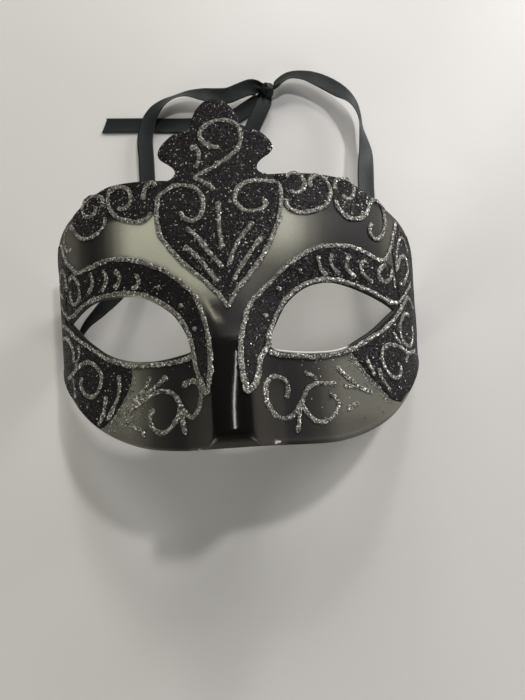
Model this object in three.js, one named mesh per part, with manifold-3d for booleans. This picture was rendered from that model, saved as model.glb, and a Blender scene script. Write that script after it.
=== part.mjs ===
// A Venetian masquerade half mask, lying face up on a table on the rims of its two temples.
// Millimetres. +Z is up from the table (the way the nose points), +Y is toward the crest,
// +X is to the right as seen from the front. "left" and "right" are as seen from the front.
//
// The shell is described as a flat pattern: u runs across the face as arc length, v runs up the
// face, and w stands off the painted face. form() bends that pattern into the mask.
import * as THREE from "three";
import Module from "manifold-3d";

const wasm = await Module();
wasm.setup();

// The arch of the face, seen from the crest end: a wide front arc, two tighter side arcs and
// straight temples that run down to the table.
const FRONT_RADIUS = 115;
const FRONT_REACH = 58;
const SIDE_RADIUS = 54;
const TEMPLE_HEADING = THREE.MathUtils.degToRad(78);
const ARCH_HEIGHT = 60;

// The relief of the face.
const NOSE_RISE = 18.5;
const NOSE_FLAT = 4.2;
const NOSE_FOOT = 18;
const NOSE_EASE = 0.18;
const NOSE_START = 14;
const NOSE_FULL = -42;
const SOCKET = { u: 40, v: 2, halfWidth: 26, halfHeight: 14, depth: 4 };
const FOREHEAD_FALL = 5;
const FOREHEAD_START = 20;
const CREST_TOP = 75;

// How the thin plastic has set: wider toward the crest, and a little askew at the temples.
const FLARE = 0.0006;
const SKEW = 3.6;
const SKEW_START = 12;
const SKEW_END = 80;

// Layers, as offsets from the painted face.
const SHELL = [-1.4, 0];
const COAT = [0.3, 0.7];
const BEAD_ON_COAT = 1.4;
const BEAD_ON_PAINT = 0.6;
const BEAD_HALF = 0.8;
const BEAD_HEIGHT = 0.9;
const BEAD_STEP = 3;
const BEAD_CLEAR = 2.2;
const GLUE = [-2.9, -1.7];

const RIBBON_WIDTH = 8;
const RIBBON_THICKNESS = 0.4;
const RIBBON_STEP = 3;

const paint = { color: 0x4a4a46, roughness: 0.42, metalness: 0.55 };
const blackGlitter = { color: 0x17151a, roughness: 0.7, metalness: 0.2 };
const silverGlitter = { color: 0xa8a79c, roughness: 0.45, metalness: 0.7 };
const satin = { color: 0x1c1d20, roughness: 0.5, metalness: 0 };
const glue = { color: 0xc9c2ac, roughness: 0.35, metalness: 0 };

const group = new THREE.Group();
group.name = "venetian_mask";

function smooth(from, to, value) {
  const t = THREE.MathUtils.clamp((value - from) / (to - from), 0, 1);
  return t * t * (3 - 2 * t);
}

// From 0 to 1 at a steady slope, with both corners eased.
function ramp(from, to, value, ease) {
  const t = THREE.MathUtils.clamp((value - from) / (to - from), 0, 1);
  const corner = (s) => (s * s) / (2 * ease * (1 - ease));
  if (t < ease) return corner(t);
  if (t > 1 - ease) return 1 - corner(1 - t);
  return (t - ease / 2) / (1 - ease);
}

// Across the arch: x, the drop from the crown, and the heading of the outward normal.
function arch(u) {
  const side = Math.sign(u);
  const reach = Math.abs(u);
  const bend = FRONT_REACH / FRONT_RADIUS;
  const sideEnd = FRONT_REACH + SIDE_RADIUS * (TEMPLE_HEADING - bend);
  const heading = Math.min(
    reach < FRONT_REACH ? reach / FRONT_RADIUS : bend + (reach - FRONT_REACH) / SIDE_RADIUS,
    TEMPLE_HEADING,
  );
  const front = Math.min(heading, bend);
  const past = Math.max(reach - sideEnd, 0);
  const sideX = heading > bend ? SIDE_RADIUS * (Math.sin(heading) - Math.sin(bend)) : 0;
  const sideDrop = heading > bend ? SIDE_RADIUS * (Math.cos(bend) - Math.cos(heading)) : 0;
  const x = FRONT_RADIUS * Math.sin(front) + sideX + past * Math.cos(heading);
  const drop = FRONT_RADIUS * (1 - Math.cos(front)) + sideDrop + past * Math.sin(heading);
  return { x: side * x, drop, heading: side * heading };
}

// The nose, a flat ridge with flat flanks that grows from the bridge to the lower edge, and the
// two eye sockets.
function relief(u, v) {
  const reach = Math.abs(u);
  const nose = NOSE_RISE * smooth(NOSE_START, NOSE_FULL, v) * ramp(NOSE_FOOT, NOSE_FLAT, reach, NOSE_EASE);
  const across = (reach - SOCKET.u) / SOCKET.halfWidth;
  const along = (v - SOCKET.v) / SOCKET.halfHeight;
  return nose - SOCKET.depth * Math.exp(-across * across - along * along);
}

function face(u, v) {
  const { x, drop, heading } = arch(u);
  const raised = relief(u, v);
  const fall = FOREHEAD_FALL * smooth(FOREHEAD_START, CREST_TOP, v) * Math.cos(heading);
  const askew = SKEW * Math.sign(u) * smooth(SKEW_START, SKEW_END, Math.abs(u));
  return new THREE.Vector3(
    (x + raised * Math.sin(heading)) * (1 + FLARE * v),
    v - askew,
    ARCH_HEIGHT - drop + raised * Math.cos(heading) - fall,
  );
}

// The point of the mask at pattern place (u, v), standing off the face by w.
function form(u, v, w) {
  const near = 0.05;
  const along = face(u + near, v).sub(face(u - near, v));
  const up = face(u, v + near).sub(face(u, v - near));
  return face(u, v).addScaledVector(along.cross(up).normalize(), w);
}

// ---- solids ----

function solid(points, triangles, faceID) {
  const vertProperties = new Float32Array(points.flat());
  const triVerts = new Uint32Array(triangles.flat());
  const options = { numProp: 3, vertProperties, triVerts };
  if (faceID) options.faceID = new Uint32Array(faceID);
  return new wasm.Manifold(new wasm.Mesh(options));
}

// A straight-sided block over a closed outline, between two heights.
function prism(outline, low, high) {
  const flat = outline.map(([x, y]) => new THREE.Vector2(x, y));
  if (THREE.ShapeUtils.isClockWise(flat)) flat.reverse();
  const count = flat.length;
  const points = [low, high].flatMap((z) => flat.map((p) => [p.x, p.y, z]));
  const triangles = [];
  for (const [a, b, c] of THREE.ShapeUtils.triangulateShape(flat, [])) {
    triangles.push([a, c, b]);
    triangles.push([a + count, b + count, c + count]);
  }
  for (let i = 0; i < count; i++) {
    const next = (i + 1) % count;
    triangles.push([i, next, next + count]);
    triangles.push([i, next + count, i + count]);
  }
  return solid(points, triangles);
}

// The pattern's grid lines: closer together over the nose than over the rest.
function gridLines(from, to, step, fineFrom, fineTo, fineStep) {
  const lines = [];
  for (let at = from; at <= to + 1e-6; ) {
    lines.push(at);
    at += at >= fineFrom - 1e-6 && at < fineTo - 1e-6 ? fineStep : step;
  }
  return lines;
}
const U_LINES = gridLines(-120, 120, 6, -18, 18, 2);
const V_LINES = gridLines(-58, 94, 8, -58, 14, 6);

// A flat slab of the whole pattern, or of the part of it that covers an outline, cut to the grid.
function slab(outline, [low, high]) {
  const reachU = outline.map((p) => p[0]);
  const reachV = outline.map((p) => p[1]);
  const within = (lines, reach) => {
    const first = lines.findLastIndex((at) => at <= Math.min(...reach));
    const last = lines.findIndex((at) => at >= Math.max(...reach));
    return lines.slice(first, last + 1);
  };
  const us = within(U_LINES, reachU);
  const vs = within(V_LINES, reachV);
  const points = [low, high].flatMap((w) => vs.flatMap((v) => us.map((u) => [u, v, w])));
  const sheet = us.length * vs.length;
  const at = (i, j, top) => j * us.length + i + (top ? sheet : 0);
  const triangles = [];
  const quad = (a, b, c, d) => triangles.push([a, b, c], [a, c, d]);
  for (let j = 0; j + 1 < vs.length; j++) {
    for (let i = 0; i + 1 < us.length; i++) {
      quad(at(i, j, true), at(i + 1, j, true), at(i + 1, j + 1, true), at(i, j + 1, true));
      triangles.push([at(i, j), at(i + 1, j + 1), at(i + 1, j)]);
      triangles.push([at(i, j), at(i, j + 1), at(i + 1, j + 1)]);
    }
  }
  const lastU = us.length - 1;
  const lastV = vs.length - 1;
  for (let i = 0; i < lastU; i++) {
    quad(at(i, 0), at(i + 1, 0), at(i + 1, 0, true), at(i, 0, true));
    quad(at(i + 1, lastV), at(i, lastV), at(i, lastV, true), at(i + 1, lastV, true));
  }
  for (let j = 0; j < lastV; j++) {
    quad(at(0, j + 1), at(0, j), at(0, j, true), at(0, j + 1, true));
    quad(at(lastU, j), at(lastU, j + 1), at(lastU, j + 1, true), at(lastU, j, true));
  }
  return solid(points, triangles, triangles.map((_, i) => i + 1));
}

// Bends a flat solid into the mask's shape.
function bend(flat) {
  const mesh = flat.getMesh();
  const points = [];
  for (let i = 0; i < mesh.vertProperties.length; i += mesh.numProp) {
    const [u, v, w] = mesh.vertProperties.slice(i, i + 3);
    points.push(form(u, v, w).toArray());
  }
  const triangles = [];
  for (let i = 0; i < mesh.triVerts.length; i += 3) {
    triangles.push([...mesh.triVerts.slice(i, i + 3)]);
  }
  return solid(points, triangles, triangles.map((_, i) => i + 1));
}

// A layer of the mask with the given outline, less any holes.
function layer(outline, span, holes = []) {
  const reach = 5;
  let flat = slab(outline, span).intersect(prism(outline, span[0] - reach, span[1] + reach));
  for (const hole of holes) flat = flat.subtract(prism(hole, span[0] - reach, span[1] + reach));
  return bend(flat);
}

function add(name, body, material) {
  const mesh = body.getMesh();
  const geometry = new THREE.BufferGeometry();
  geometry.setAttribute("position", new THREE.BufferAttribute(mesh.vertProperties, mesh.numProp));
  geometry.setIndex(new THREE.BufferAttribute(mesh.triVerts, 1));
  geometry.computeVertexNormals();
  const part = new THREE.Mesh(geometry, new THREE.MeshStandardMaterial(material));
  part.name = name;
  group.add(part);
}

// ---- outlines ----

// A smooth line through the given pattern places, with a point about every step.
function through(places, step) {
  const curve = new THREE.SplineCurve(places.map(([x, y]) => new THREE.Vector2(x, y)));
  const count = Math.max(2, Math.round(curve.getLength() / step));
  return curve.getSpacedPoints(count).map((p) => [p.x, p.y]);
}

const mirrored = (places) => places.map(([u, v]) => [-u, v]);
const OUTLINE_STEP = 3.5;

// The crest, from the left foot of its neck over the tip to the right foot.
const crest = [
  ...through([
    [-22.5, 54.2], [-20, 55], [-19, 57.2], [-19.8, 59.6], [-22.4, 62], [-25.2, 64.4], [-26, 66.6]
  ], 2.5),
  ...through([[-26, 66.8], [-24.8, 69.6], [-22, 72.6], [-18.4, 74.8], [-12.8, 76]], 2.5),
  ...through([[-12.2, 76.6], [-11.4, 80], [-9.4, 84.4], [-6, 87.6], [-2.4, 88.6]], 2.5),
  ...through([[-1.8, 88.6], [1.8, 87.2], [4.8, 84.2], [6.8, 80.2], [7.6, 76.8]], 2.5),
  ...through([[8.2, 76.2], [12.6, 74.6], [16.4, 72.4], [19.2, 69.4], [20.4, 66.8]], 2.5),
  ...through([
    [20.4, 66.4], [19, 63.8], [15.8, 61.2], [13.8, 58.6], [13.6, 56], [15, 54.4], [17.6, 53.8]
  ], 2.5),
];
// The right half of the mask's edge below the crest, from the brow round the temple to the nose.
const sideEdge = through([
  [20, 54], [30, 55.2], [40, 55.9], [49, 55.6], [56, 53.4], [63, 50], [70, 46.8], [79, 43.6],
  [89, 39], [99, 31.4], [107, 22], [113, 15], [118, 11], [118, -6], [108, -13.6], [99, -19.5],
  [89, -26.3], [80, -32.8], [72, -38.6], [64, -43.6], [55, -47.9], [45, -51.2], [35, -53],
  [20, -53.6], [8, -53.2],
], OUTLINE_STEP);
const maskOutline = [...crest, ...sideEdge, ...mirrored(sideEdge).reverse()];

const eyeUpperRight = [
  [14.8, -17.5], [15.3, -13.5], [17.2, -9], [20, -3.6], [23, 0.6], [28, 5], [33, 7.8], [38, 9.3],
  [43, 9.8], [50, 8.9], [57, 7.2], [63, 5.4], [69, 3.4], [72.5, 2],
];
const eyeLowerRight = [
  [72.5, 2], [68, -1], [63, -4.8], [57, -9], [51, -12.6], [45.5, -15.8], [40, -17.6], [35, -18.4],
  [28, -18.9], [20, -18.5], [14.8, -17.5],
];
const eyeUpperLeft = [
  [-15.8, -17], [-17, -12], [-19.5, -7], [-23, -2.2], [-27, 1], [-31, 3.4], [-36, 5.6], [-41, 6.8],
  [-46, 7.1], [-52, 6.8], [-58, 6.2], [-63, 5], [-68, 3], [-73, 0.8], [-77.4, -0.8],
];
const eyeLowerLeft = [
  [-77.4, -0.8], [-73, -3.6], [-66.6, -8.4], [-60, -12.4], [-54, -15.8], [-48, -18], [-41, -19.4],
  [-34, -19.8], [-28, -19.4], [-22, -18.4], [-15.8, -17],
];
const eyeHole = (upper, lower) => [
  ...through(upper, OUTLINE_STEP).slice(0, -1),
  ...through(lower, OUTLINE_STEP).slice(0, -1),
];
const rightEye = eyeHole(eyeUpperRight, eyeLowerRight);
const leftEye = eyeHole(eyeUpperLeft, eyeLowerLeft);

// Heart panel on the forehead: the two flanks, from its lobes down to its tip.
const heartRight = [
  [21.2, 49.6], [22, 45], [22, 41], [21, 34.6], [19.2, 29.2], [15.8, 22.2], [12, 16], [6.4, 9], [2.4, 4],
  [0, -1.8],
];
const heartLeft = [
  [-25.6, 46.6], [-26.8, 40.6], [-26.4, 33.4], [-24.4, 27.8], [-20.6, 22.2], [-15.4, 16.4],
  [-10, 11], [-5, 5.6], [-1.8, 1], [0, -1.8],
];

// Lower edge of the scalloped brow panels.
const browRight = [
  [22.8, 43.4], [24.2, 39], [27.8, 36.8], [32, 37.2], [37, 39.3], [40.6, 41.8], [43, 45.2],
  [45, 41.8], [47.8, 38.6], [51.6, 37.5], [55.4, 38.5], [58.8, 41.2], [60.6, 45], [62, 48],
];
const browLeft = [
  [-27.6, 41.6], [-29.4, 38.6], [-33.4, 36.8], [-38.4, 37.7], [-42.6, 39.4], [-46, 41.8],
  [-48.6, 44], [-50, 38.8], [-53.6, 35.6], [-58.4, 33.6], [-63.4, 34], [-67.2, 36.6], [-70.2, 40.4],
  [-72, 43.2],
];

// Upper border of each eye band, from the point beside the nose out to the temple.
const bandRight = [
  [5, -35], [4.2, -32], [3.6, -26], [3.5, -19], [4.2, -12.6], [6.6, -3.4], [9.8, 1.9], [13.9, 6],
  [18.6, 11], [24.3, 16], [30.2, 20.1], [36, 22.8], [42, 24.4], [48, 24.9], [54.4, 24.3], [59.4, 22.9],
  [64, 21.6], [67.4, 22.2], [70, 25.6], [72, 29], [74, 33.6], [76, 38.4], [77.6, 42],
];
const bandLeft = [
  [-7.5, -34.6], [-6.5, -30], [-6.2, -25], [-6.6, -18.2], [-7.8, -11.5], [-9.4, -5.7], [-11.8, 1.4],
  [-15, 6.8], [-19.2, 11], [-25, 15.6], [-31, 18.6], [-37.5, 21], [-43.3, 22], [-49.2, 22.3],
  [-55, 21.5], [-60, 20.6], [-65, 19.6], [-69.2, 20.2], [-72, 22.2], [-75.4, 24.8], [-78.6, 28.6],
  [-81.8, 33.4], [-84.4, 38],
];
// The band's inner border beside the nose, and the piped rims above and below the eye hole.
const nosePointRight = [[8, -30.4], [9.2, -25.4], [10.2, -21.8]];
const nosePointLeft = [[-10.2, -29.4], [-12.4, -24.6]];
const rimUpperRight = [
  [13.4, -16.4], [13.6, -13], [15.6, -8.4], [18.6, -3], [21.6, 1.4], [26.8, 6], [32, 8.8],
  [37.6, 10.6], [43.4, 11.2], [50, 10.4], [57.6, 8.6], [64, 6.8], [70, 5], [75.2, 4.8],
];
const rimUpperLeft = [
  [-14.2, -15.6], [-15.6, -11.4], [-18, -6.4], [-21.6, -1.4], [-25.8, 2.2], [-30, 4.8], [-35, 7],
  [-40, 8.2], [-46, 8.7], [-52, 8.4], [-58, 7.8], [-64, 6.4], [-68, 4.8], [-72, 3], [-77, 1.8],
  [-80.6, 2.4],
];
const rimLowerRight = [
  [13, -19.6], [21.8, -20.8], [32, -21], [40, -19.6], [47, -17.6], [53, -14], [58, -11.2], [64, -8],
  [69, -4.6], [72.6, -1.6], [76.4, 1.8], [80.4, 5.8], [84, 8.6], [88, 7.8], [92, 5],
];
const rimLowerLeft = [
  [-14, -19], [-20, -20.4], [-28, -21.2], [-36, -21.4], [-42, -21.2], [-48, -19.9], [-54, -17.7],
  [-60, -14.5], [-66, -11.2], [-70, -9], [-75, -6.2], [-80, -3], [-86, -0.4], [-92, 1.4],
];

// ---- shell and glitter coats ----

function shell() {
  const body = layer(maskOutline, SHELL, [rightEye, leftEye]);
  const size = 300;
  const table = [[-size, -size], [size, -size], [size, size], [-size, size]];
  return body.subtract(prism(table, -size, 0));
}

const coat = (places) => layer(places, COAT);
const smoothly = (places) => through(places, OUTLINE_STEP);

const crestPanel = [...crest, ...smoothly(heartRight), ...smoothly(heartLeft).reverse().slice(1)];
const browPanelRight = [
  [21.8, 49.4], [19.4, 53],
  ...smoothly([[21, 53.6], [30, 54.6], [40, 55.3], [49, 55], [55.8, 52.8], [60.6, 50.6]]),
  ...smoothly(browRight).reverse(),
];
const browPanelLeft = [
  [-26.1, 46.8], [-23.6, 53.6],
  ...smoothly([[-25, 54.2], [-40, 55.3], [-49, 55], [-55.8, 52.8], [-63, 49.4], [-70, 46.2]]),
  ...smoothly(browLeft).reverse(),
];
const bandPanelRight = [
  ...smoothly(bandRight.slice(0, 18)), [72.6, 20.6], [74.6, 12], [75.2, 4.8],
  ...smoothly(rimUpperRight).reverse().slice(1), ...nosePointRight.slice().reverse(),
];
const bandPanelLeft = [
  ...smoothly(bandLeft.slice(0, 18)), [-72.6, 19.6], [-78, 16], [-80, 9], [-80.8, 2.4],
  ...smoothly(rimUpperLeft).reverse().slice(1), ...nosePointLeft.slice().reverse(),
];
// The temple panels run to just inside the mask's edge and stop a little above the table.
const templeEdge = smoothly([
  [88.4, 38.4], [98, 30.4], [105.6, 18], [106.4, 2], [105, -11.6], [98, -19], [89, -25.4], [80, -31.8],
]);
const templePanelRight = [
  ...smoothly([[73.4, 21], [72.9, 25], [73, 29], [74.4, 33.6], [76.4, 38.4], [78.4, 42.6]]),
  ...templeEdge,
  ...smoothly([[72, -36.6], [66, -35.6], [62.7, -33.4], [58.5, -29.8], [53.5, -25.7], [48.6, -19.6]]),
  ...smoothly(rimLowerRight.slice(4, 11)), [76.8, 6], [75.6, 12.6],
];
const templePanelLeft = mirrored([
  ...smoothly([[73, 21.8], [76, 24.2], [79.2, 28], [82.4, 32.8], [84.8, 37.4]]),
  ...templeEdge, ...smoothly([[72, -37.6], [64, -42.6], [58, -45.6], [52, -42], [47, -36.6],
    [43, -31], [41, -26], [41.2, -22]]),
  ...smoothly(mirrored(rimLowerLeft).slice(4, 12)), [81.8, 3.4], [80.8, 9.6], [78.8, 17], [74.4, 20.2],
]);

add("mask_shell", shell(), paint);
add("crest_heart_glitter", coat(crestPanel), blackGlitter);
add("brow_glitter_left", coat(browPanelLeft), blackGlitter);
add("brow_glitter_right", coat(browPanelRight), blackGlitter);
add("eye_band_glitter_left", coat(bandPanelLeft), blackGlitter);
add("eye_band_glitter_right", coat(bandPanelRight), blackGlitter);
add("temple_glitter_left", coat(templePanelLeft), blackGlitter);
add("temple_glitter_right", coat(templePanelRight), blackGlitter);

// ---- piping: beads of silver glitter glue ----

// Section of a bead, as (sideways, upward) from the middle of its foot, anticlockwise.
const BEAD_SECTION = [[-BEAD_HALF, 0], [BEAD_HALF, 0], [0.45, BEAD_HEIGHT], [-0.45, BEAD_HEIGHT]];

// A closed bar through the rings of points given. Opposite faces fold along the same diagonal, so
// that a thin bar may twist without its two broad faces meeting.
function bar(rings) {
  const sides = rings[0].length;
  const triangles = [];
  for (let r = 0; r + 1 < rings.length; r++) {
    for (let s = 0; s < sides; s++) {
      const a = r * sides + s;
      const b = r * sides + ((s + 1) % sides);
      if (s < sides / 2) triangles.push([a, b, b + sides], [a, b + sides, a + sides]);
      else triangles.push([a, b, a + sides], [b, b + sides, a + sides]);
    }
  }
  const last = (rings.length - 1) * sides;
  for (let s = 1; s + 1 < sides; s++) {
    triangles.push([0, s + 1, s], [last, last + s, last + s + 1]);
  }
  const body = solid(rings.flat(), triangles);
  return body.volume() < 0 ? solid(rings.flat(), triangles.map(([a, b, c]) => [a, c, b])) : body;
}

function bead(line, base) {
  const rings = line.map(([u, v], i) => {
    const [u0, v0] = line[Math.max(i - 1, 0)];
    const [u1, v1] = line[Math.min(i + 1, line.length - 1)];
    const run = Math.hypot(u1 - u0, v1 - v0);
    const [sideU, sideV] = [-(v1 - v0) / run, (u1 - u0) / run];
    return BEAD_SECTION.map(([side, up]) => form(u + sideU * side, v + sideV * side, base + up).toArray());
  });
  return bar(rings);
}

// Each line stops short of the beads already laid, as wet glue lines that don't run together.
const laid = [];
function clearRun(line) {
  const free = ([u, v]) => laid.every(([a, b]) => Math.hypot(u - a, v - b) > BEAD_CLEAR);
  let run = [];
  let best = [];
  for (const place of line) {
    run = free(place) ? [...run, place] : [];
    if (run.length > best.length) best = run;
  }
  return best;
}

// A piped figure: its main line, and any branches that start on it.
function pipe(name, places, base = BEAD_ON_COAT, branches = []) {
  const lines = [places, ...branches];
  let body = bead(clearRun(through(places, BEAD_STEP)), base);
  for (const branch of branches) body = body.add(bead(clearRun(through(branch, BEAD_STEP)), base));
  const covered = lines.flatMap((line) => clearRun(through(line, 0.5)));
  laid.push(...covered);
  add(name, body, silverGlitter);
}

const heartSpiralRight = [
  [14.4, 41.4], [16, 40.4], [14.6, 38], [11, 36.8], [7, 37.8], [4.6, 41], [4.2, 44.6], [5.8, 47.8],
  [9, 49.8], [13, 50.4], [17, 50.2],
];
const heartSpiralLeft = [
  [-17, 39.4], [-15.6, 36.2], [-12.6, 34.8], [-9.6, 36.2], [-8.2, 40], [-8.2, 44], [-9.8, 48],
  [-13, 50.3], [-17.8, 50.8], [-22, 49.6],
];
pipe("heart_piping", [...heartSpiralRight, ...heartRight, ...heartLeft.slice(0, -1).reverse(),
  ...heartSpiralLeft.slice().reverse()]);

const rays = {
  centre: [[-2.3, 42], [-2.1, 37], [-2.3, 31], [-1.8, 25], [-1.6, 22]],
  upper_left: [[-15, 32], [-11.6, 28.4], [-8.2, 23.4], [-4.4, 17.8], [-1.6, 14.4]],
  upper_right: [[10.8, 32.3], [7.7, 28.5], [4.6, 24.3], [2, 19.3], [0.6, 15]],
  lower_left: [[-16.4, 24.4], [-13.6, 22], [-10, 17.8], [-6, 12.2], [-3.8, 8.6]],
  lower_right: [[13.8, 26], [11, 22.7], [6.8, 16.8], [3.4, 11.6], [2, 8.4]],
};
for (const [name, places] of Object.entries(rays)) pipe(`heart_ray_${name}`, places);

pipe("crest_swirl", [
  [-0.8, 66.4], [-4.2, 67.3], [-7.2, 69.4], [-8.3, 72.4], [-7.2, 75.4], [-4.6, 77.6], [-1, 78.5],
  [3, 78.2], [6.2, 76], [7.7, 72.4], [7.4, 68.4], [5.6, 64.6], [2.4, 61.4], [-1.6, 58.9], [-5.6, 56.4],
  [-9.6, 54.8], [-10.6, 53.2], [-7.6, 51.2], [-4.4, 48.6], [-3.6, 46.8],
]);
pipe("crest_hook", [[-12.4, 67.2], [-10.2, 67.4], [-8.9, 65], [-9, 61.2], [-10.6, 57.8]]);

const brows = {
  scallop_inner_right: [
    [24, 42.6], [24.6, 38.9], [27.8, 36.8], [32, 37.2], [37, 39.3], [40.6, 42], [42.4, 45.6], [42.6, 49],
    [41.4, 52.4], [38.6, 54.4], [35.8, 54], [34.2, 51.6], [34.4, 48.6],
  ],
  spiral_inner_right: [
    [24.2, 52.2], [27, 54.2], [30, 53.6], [31.6, 50.6], [31, 47.2], [28.2, 45.4], [25.4, 46.2],
  ],
  scallop_outer_right: [
    [44.4, 44.6], [45.4, 41.6], [48, 38.6], [51.6, 37.5], [55.4, 38.5], [58.6, 41], [60.4, 44.4],
    [62.4, 47.8], [65.4, 48.6], [68, 46.8], [69.3, 43], [69, 38], [66.8, 33.2], [63.5, 30.7],
    [60.6, 31.6], [60, 34.6], [61.4, 37.6],
  ],
  spiral_outer_right: [
    [45.2, 49], [45.4, 53], [48, 55], [51.4, 54.6], [53.4, 52], [53, 48.4], [50.4, 46.2], [47.8, 47.4],
  ],
  spiral_heart_left: [[-32, 46.4], [-32, 49.6], [-30.6, 52.8], [-28.3, 53.8], [-26.6, 51.6]],
  scallop_inner_left: [
    [-29, 40.6], [-30.6, 38], [-34.4, 36.8], [-38.4, 37.7], [-42.6, 39.4], [-46, 42], [-48.2, 45.4],
    [-49, 49.4], [-47.6, 53], [-43.8, 54], [-40, 52.8], [-38, 49.6], [-38.6, 45.8], [-41.4, 43.6],
    [-44.2, 44.6],
  ],
  scallop_outer_left: [
    [-50.4, 41.6], [-50.8, 38.4], [-53.8, 35.5], [-58.4, 33.6], [-63.4, 34], [-67.2, 36.6],
    [-70.2, 40.4], [-72, 43],
  ],
  spiral_outer_left: [
    [-52, 46], [-51.8, 50], [-54.4, 52], [-58, 52.2], [-61.6, 50.6], [-63.2, 47.4], [-61.8, 44.2],
    [-58.6, 43], [-55.6, 44.6], [-55.4, 47.6],
  ],
};
for (const [name, places] of Object.entries(brows)) pipe(`brow_${name}`, places);

const bandPiping = (border, point, rim) => [...border.slice().reverse(), ...point, ...rim];
pipe("eye_band_piping_right", bandPiping(bandRight, nosePointRight, rimUpperRight));
pipe("eye_band_piping_left", bandPiping(bandLeft, nosePointLeft, rimUpperLeft));
pipe("eye_rim_piping_right", rimLowerRight);
pipe("eye_rim_piping_left", rimLowerLeft);

const bandTicks = {
  right_1: [[35.6, 19.6], [36, 17], [37.4, 14], [40, 12.6]],
  right_2: [[41.6, 21.2], [41, 18.2], [42.6, 15.4], [45.6, 13.2]],
  right_3: [[49.4, 22], [48.3, 18.8], [49, 15.4], [52.6, 12.9]],
  right_4: [[57.4, 20.6], [55.2, 18.6], [55.4, 15.4], [58, 13.2], [61, 12]],
  left_1: [[-37.6, 15.8], [-36.8, 13.2], [-38, 10.9], [-41, 9.9]],
  left_2: [[-47.4, 18], [-45.8, 15.6], [-46.4, 12.8], [-49.2, 10.7]],
  left_3: [[-53.6, 18.6], [-51.8, 16.2], [-53, 13], [-55.8, 10.2]],
  left_4: [[-60.4, 18.6], [-59.4, 16], [-60.2, 12.8], [-63, 10]],
};
for (const [name, places] of Object.entries(bandTicks)) pipe(`band_tick_${name}`, places);

const templeScrolls = {
  loop_right: [[68.4, 20.2], [65.2, 18.8], [63.4, 16], [65, 13.6], [68.4, 13.2], [71, 15.6], [72, 19.4]],
  loop_left: [
    [-76.2, 17.6], [-73.6, 19.2], [-70.6, 18.2], [-68.6, 15], [-68.2, 11.4], [-70, 8.2], [-73, 7],
    [-75.2, 9.4], [-75.6, 13.4],
  ],
  ring_right: [
    [74.8, 18.6], [77, 22.6], [79.2, 26], [82.2, 27.4], [85.6, 26], [86.8, 22], [84, 17.6],
    [80.4, 14.6], [77, 14],
  ],
  ring_left: [
    [-79, 14], [-79.4, 19], [-82, 23.4], [-86, 24.6], [-89.6, 22], [-90.4, 17.8], [-87.6, 14],
    [-83.4, 12.8],
  ],
  lower_ring_right: [
    [84.6, 0.4], [82, 1.4], [79, 0.2], [76.4, -3.4], [75.6, -7.6], [77.2, -11], [81, -12.8],
    [85.6, -11.4], [88.4, -7.6], [88, -3],
  ],
  lower_ring_left: [[-90, -5], [-84.6, -5.8], [-79.6, -7.6], [-76.4, -11], [-74.8, -15], [-74.6, -18]],
  scroll_right: [
    [71.6, -20.6], [73.6, -22.6], [72.6, -25.4], [69.4, -27], [65.6, -26], [62.8, -22.6], [62, -18.8],
    [63.4, -15.4], [67, -13.4], [72, -13.4], [76, -14.4], [80.4, -15.8], [86, -14.8], [91, -13.4],
  ],
  scroll_left: [
    [-67.4, -25], [-69.6, -27], [-68.6, -30], [-65.4, -32.4], [-61, -32.6], [-57.6, -30], [-56.2, -26],
    [-57.6, -22.2], [-61, -19.4], [-66, -18.8], [-71.6, -20.4], [-77, -22.6], [-83, -23.6],
  ],
  stroke_right_1: [[54, -20.6], [55.6, -23.6], [57.4, -27]],
  stroke_right_2: [[59.8, -23.4], [61.4, -28], [65.4, -32.6]],
  stroke_left_1: [[-47.2, -24.6], [-47, -28.4], [-47.8, -32.6], [-50.2, -37], [-54.2, -42.4]],
  stroke_left_2: [[-54.2, -32.6], [-55, -37], [-56.8, -41.4], [-59.2, -44.4]],
};
for (const [name, places] of Object.entries(templeScrolls)) pipe(`temple_${name}`, places);

// Each cheek figure: a scroll, with a ring and a stem that grow from it.
const cheekFigures = {
  right: [
    [
      [19.2, -37], [20, -34], [19.8, -30.8], [17.6, -28.9], [15, -28.7], [12, -30.9], [10.9, -35],
      [11.6, -39], [13.6, -42.2], [17.4, -43.9], [21.2, -43], [24.2, -39.6], [26, -36], [28.2, -32.8],
      [31, -31.2], [35, -30.8], [40, -31.2],
    ],
    [
      [25, -38.4], [27.2, -42], [30, -44.8], [33, -45.4], [36.4, -44], [39, -41.4], [40.2, -38],
      [38, -35],
    ],
    [
      [24.4, -39.4], [23.8, -44], [22.9, -49.4],
    ],
  ],
  left: [
    [
      [-19.4, -30.6], [-18.6, -28.8], [-16, -27.9], [-13, -29.2], [-11, -31.8], [-10.3, -35],
      [-11.6, -38.6], [-14.4, -40.8], [-17, -41.3], [-19.4, -39.6], [-21, -36.4], [-22.6, -33.6],
      [-25, -31.9], [-28.4, -31.4], [-33, -32.8], [-38, -35.8], [-43.4, -39.4],
    ],
    [
      [-20.8, -37], [-22.4, -41.4], [-25.4, -45], [-29, -46.8], [-32.6, -45.5], [-34.2, -42],
      [-33.4, -39.2], [-31.4, -38.6],
    ],
    [
      [-20.6, -38], [-20.5, -43], [-19.4, -47.6],
    ],
  ],
};
for (const [side, [scroll, ring, stem]] of Object.entries(cheekFigures)) {
  pipe(`cheek_scroll_${side}`, scroll, BEAD_ON_PAINT, [ring, stem]);
}
pipe("cheek_fan_right", [[40.2, -24], [42.9, -26.8], [46.6, -29.4], [51, -32], [56, -33.4]], BEAD_ON_PAINT);
pipe("cheek_fan_left", [[-26, -25.6], [-29, -28.4], [-33, -31], [-37, -33.4], [-42, -37]], BEAD_ON_PAINT);

// ---- ribbons ----

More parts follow.
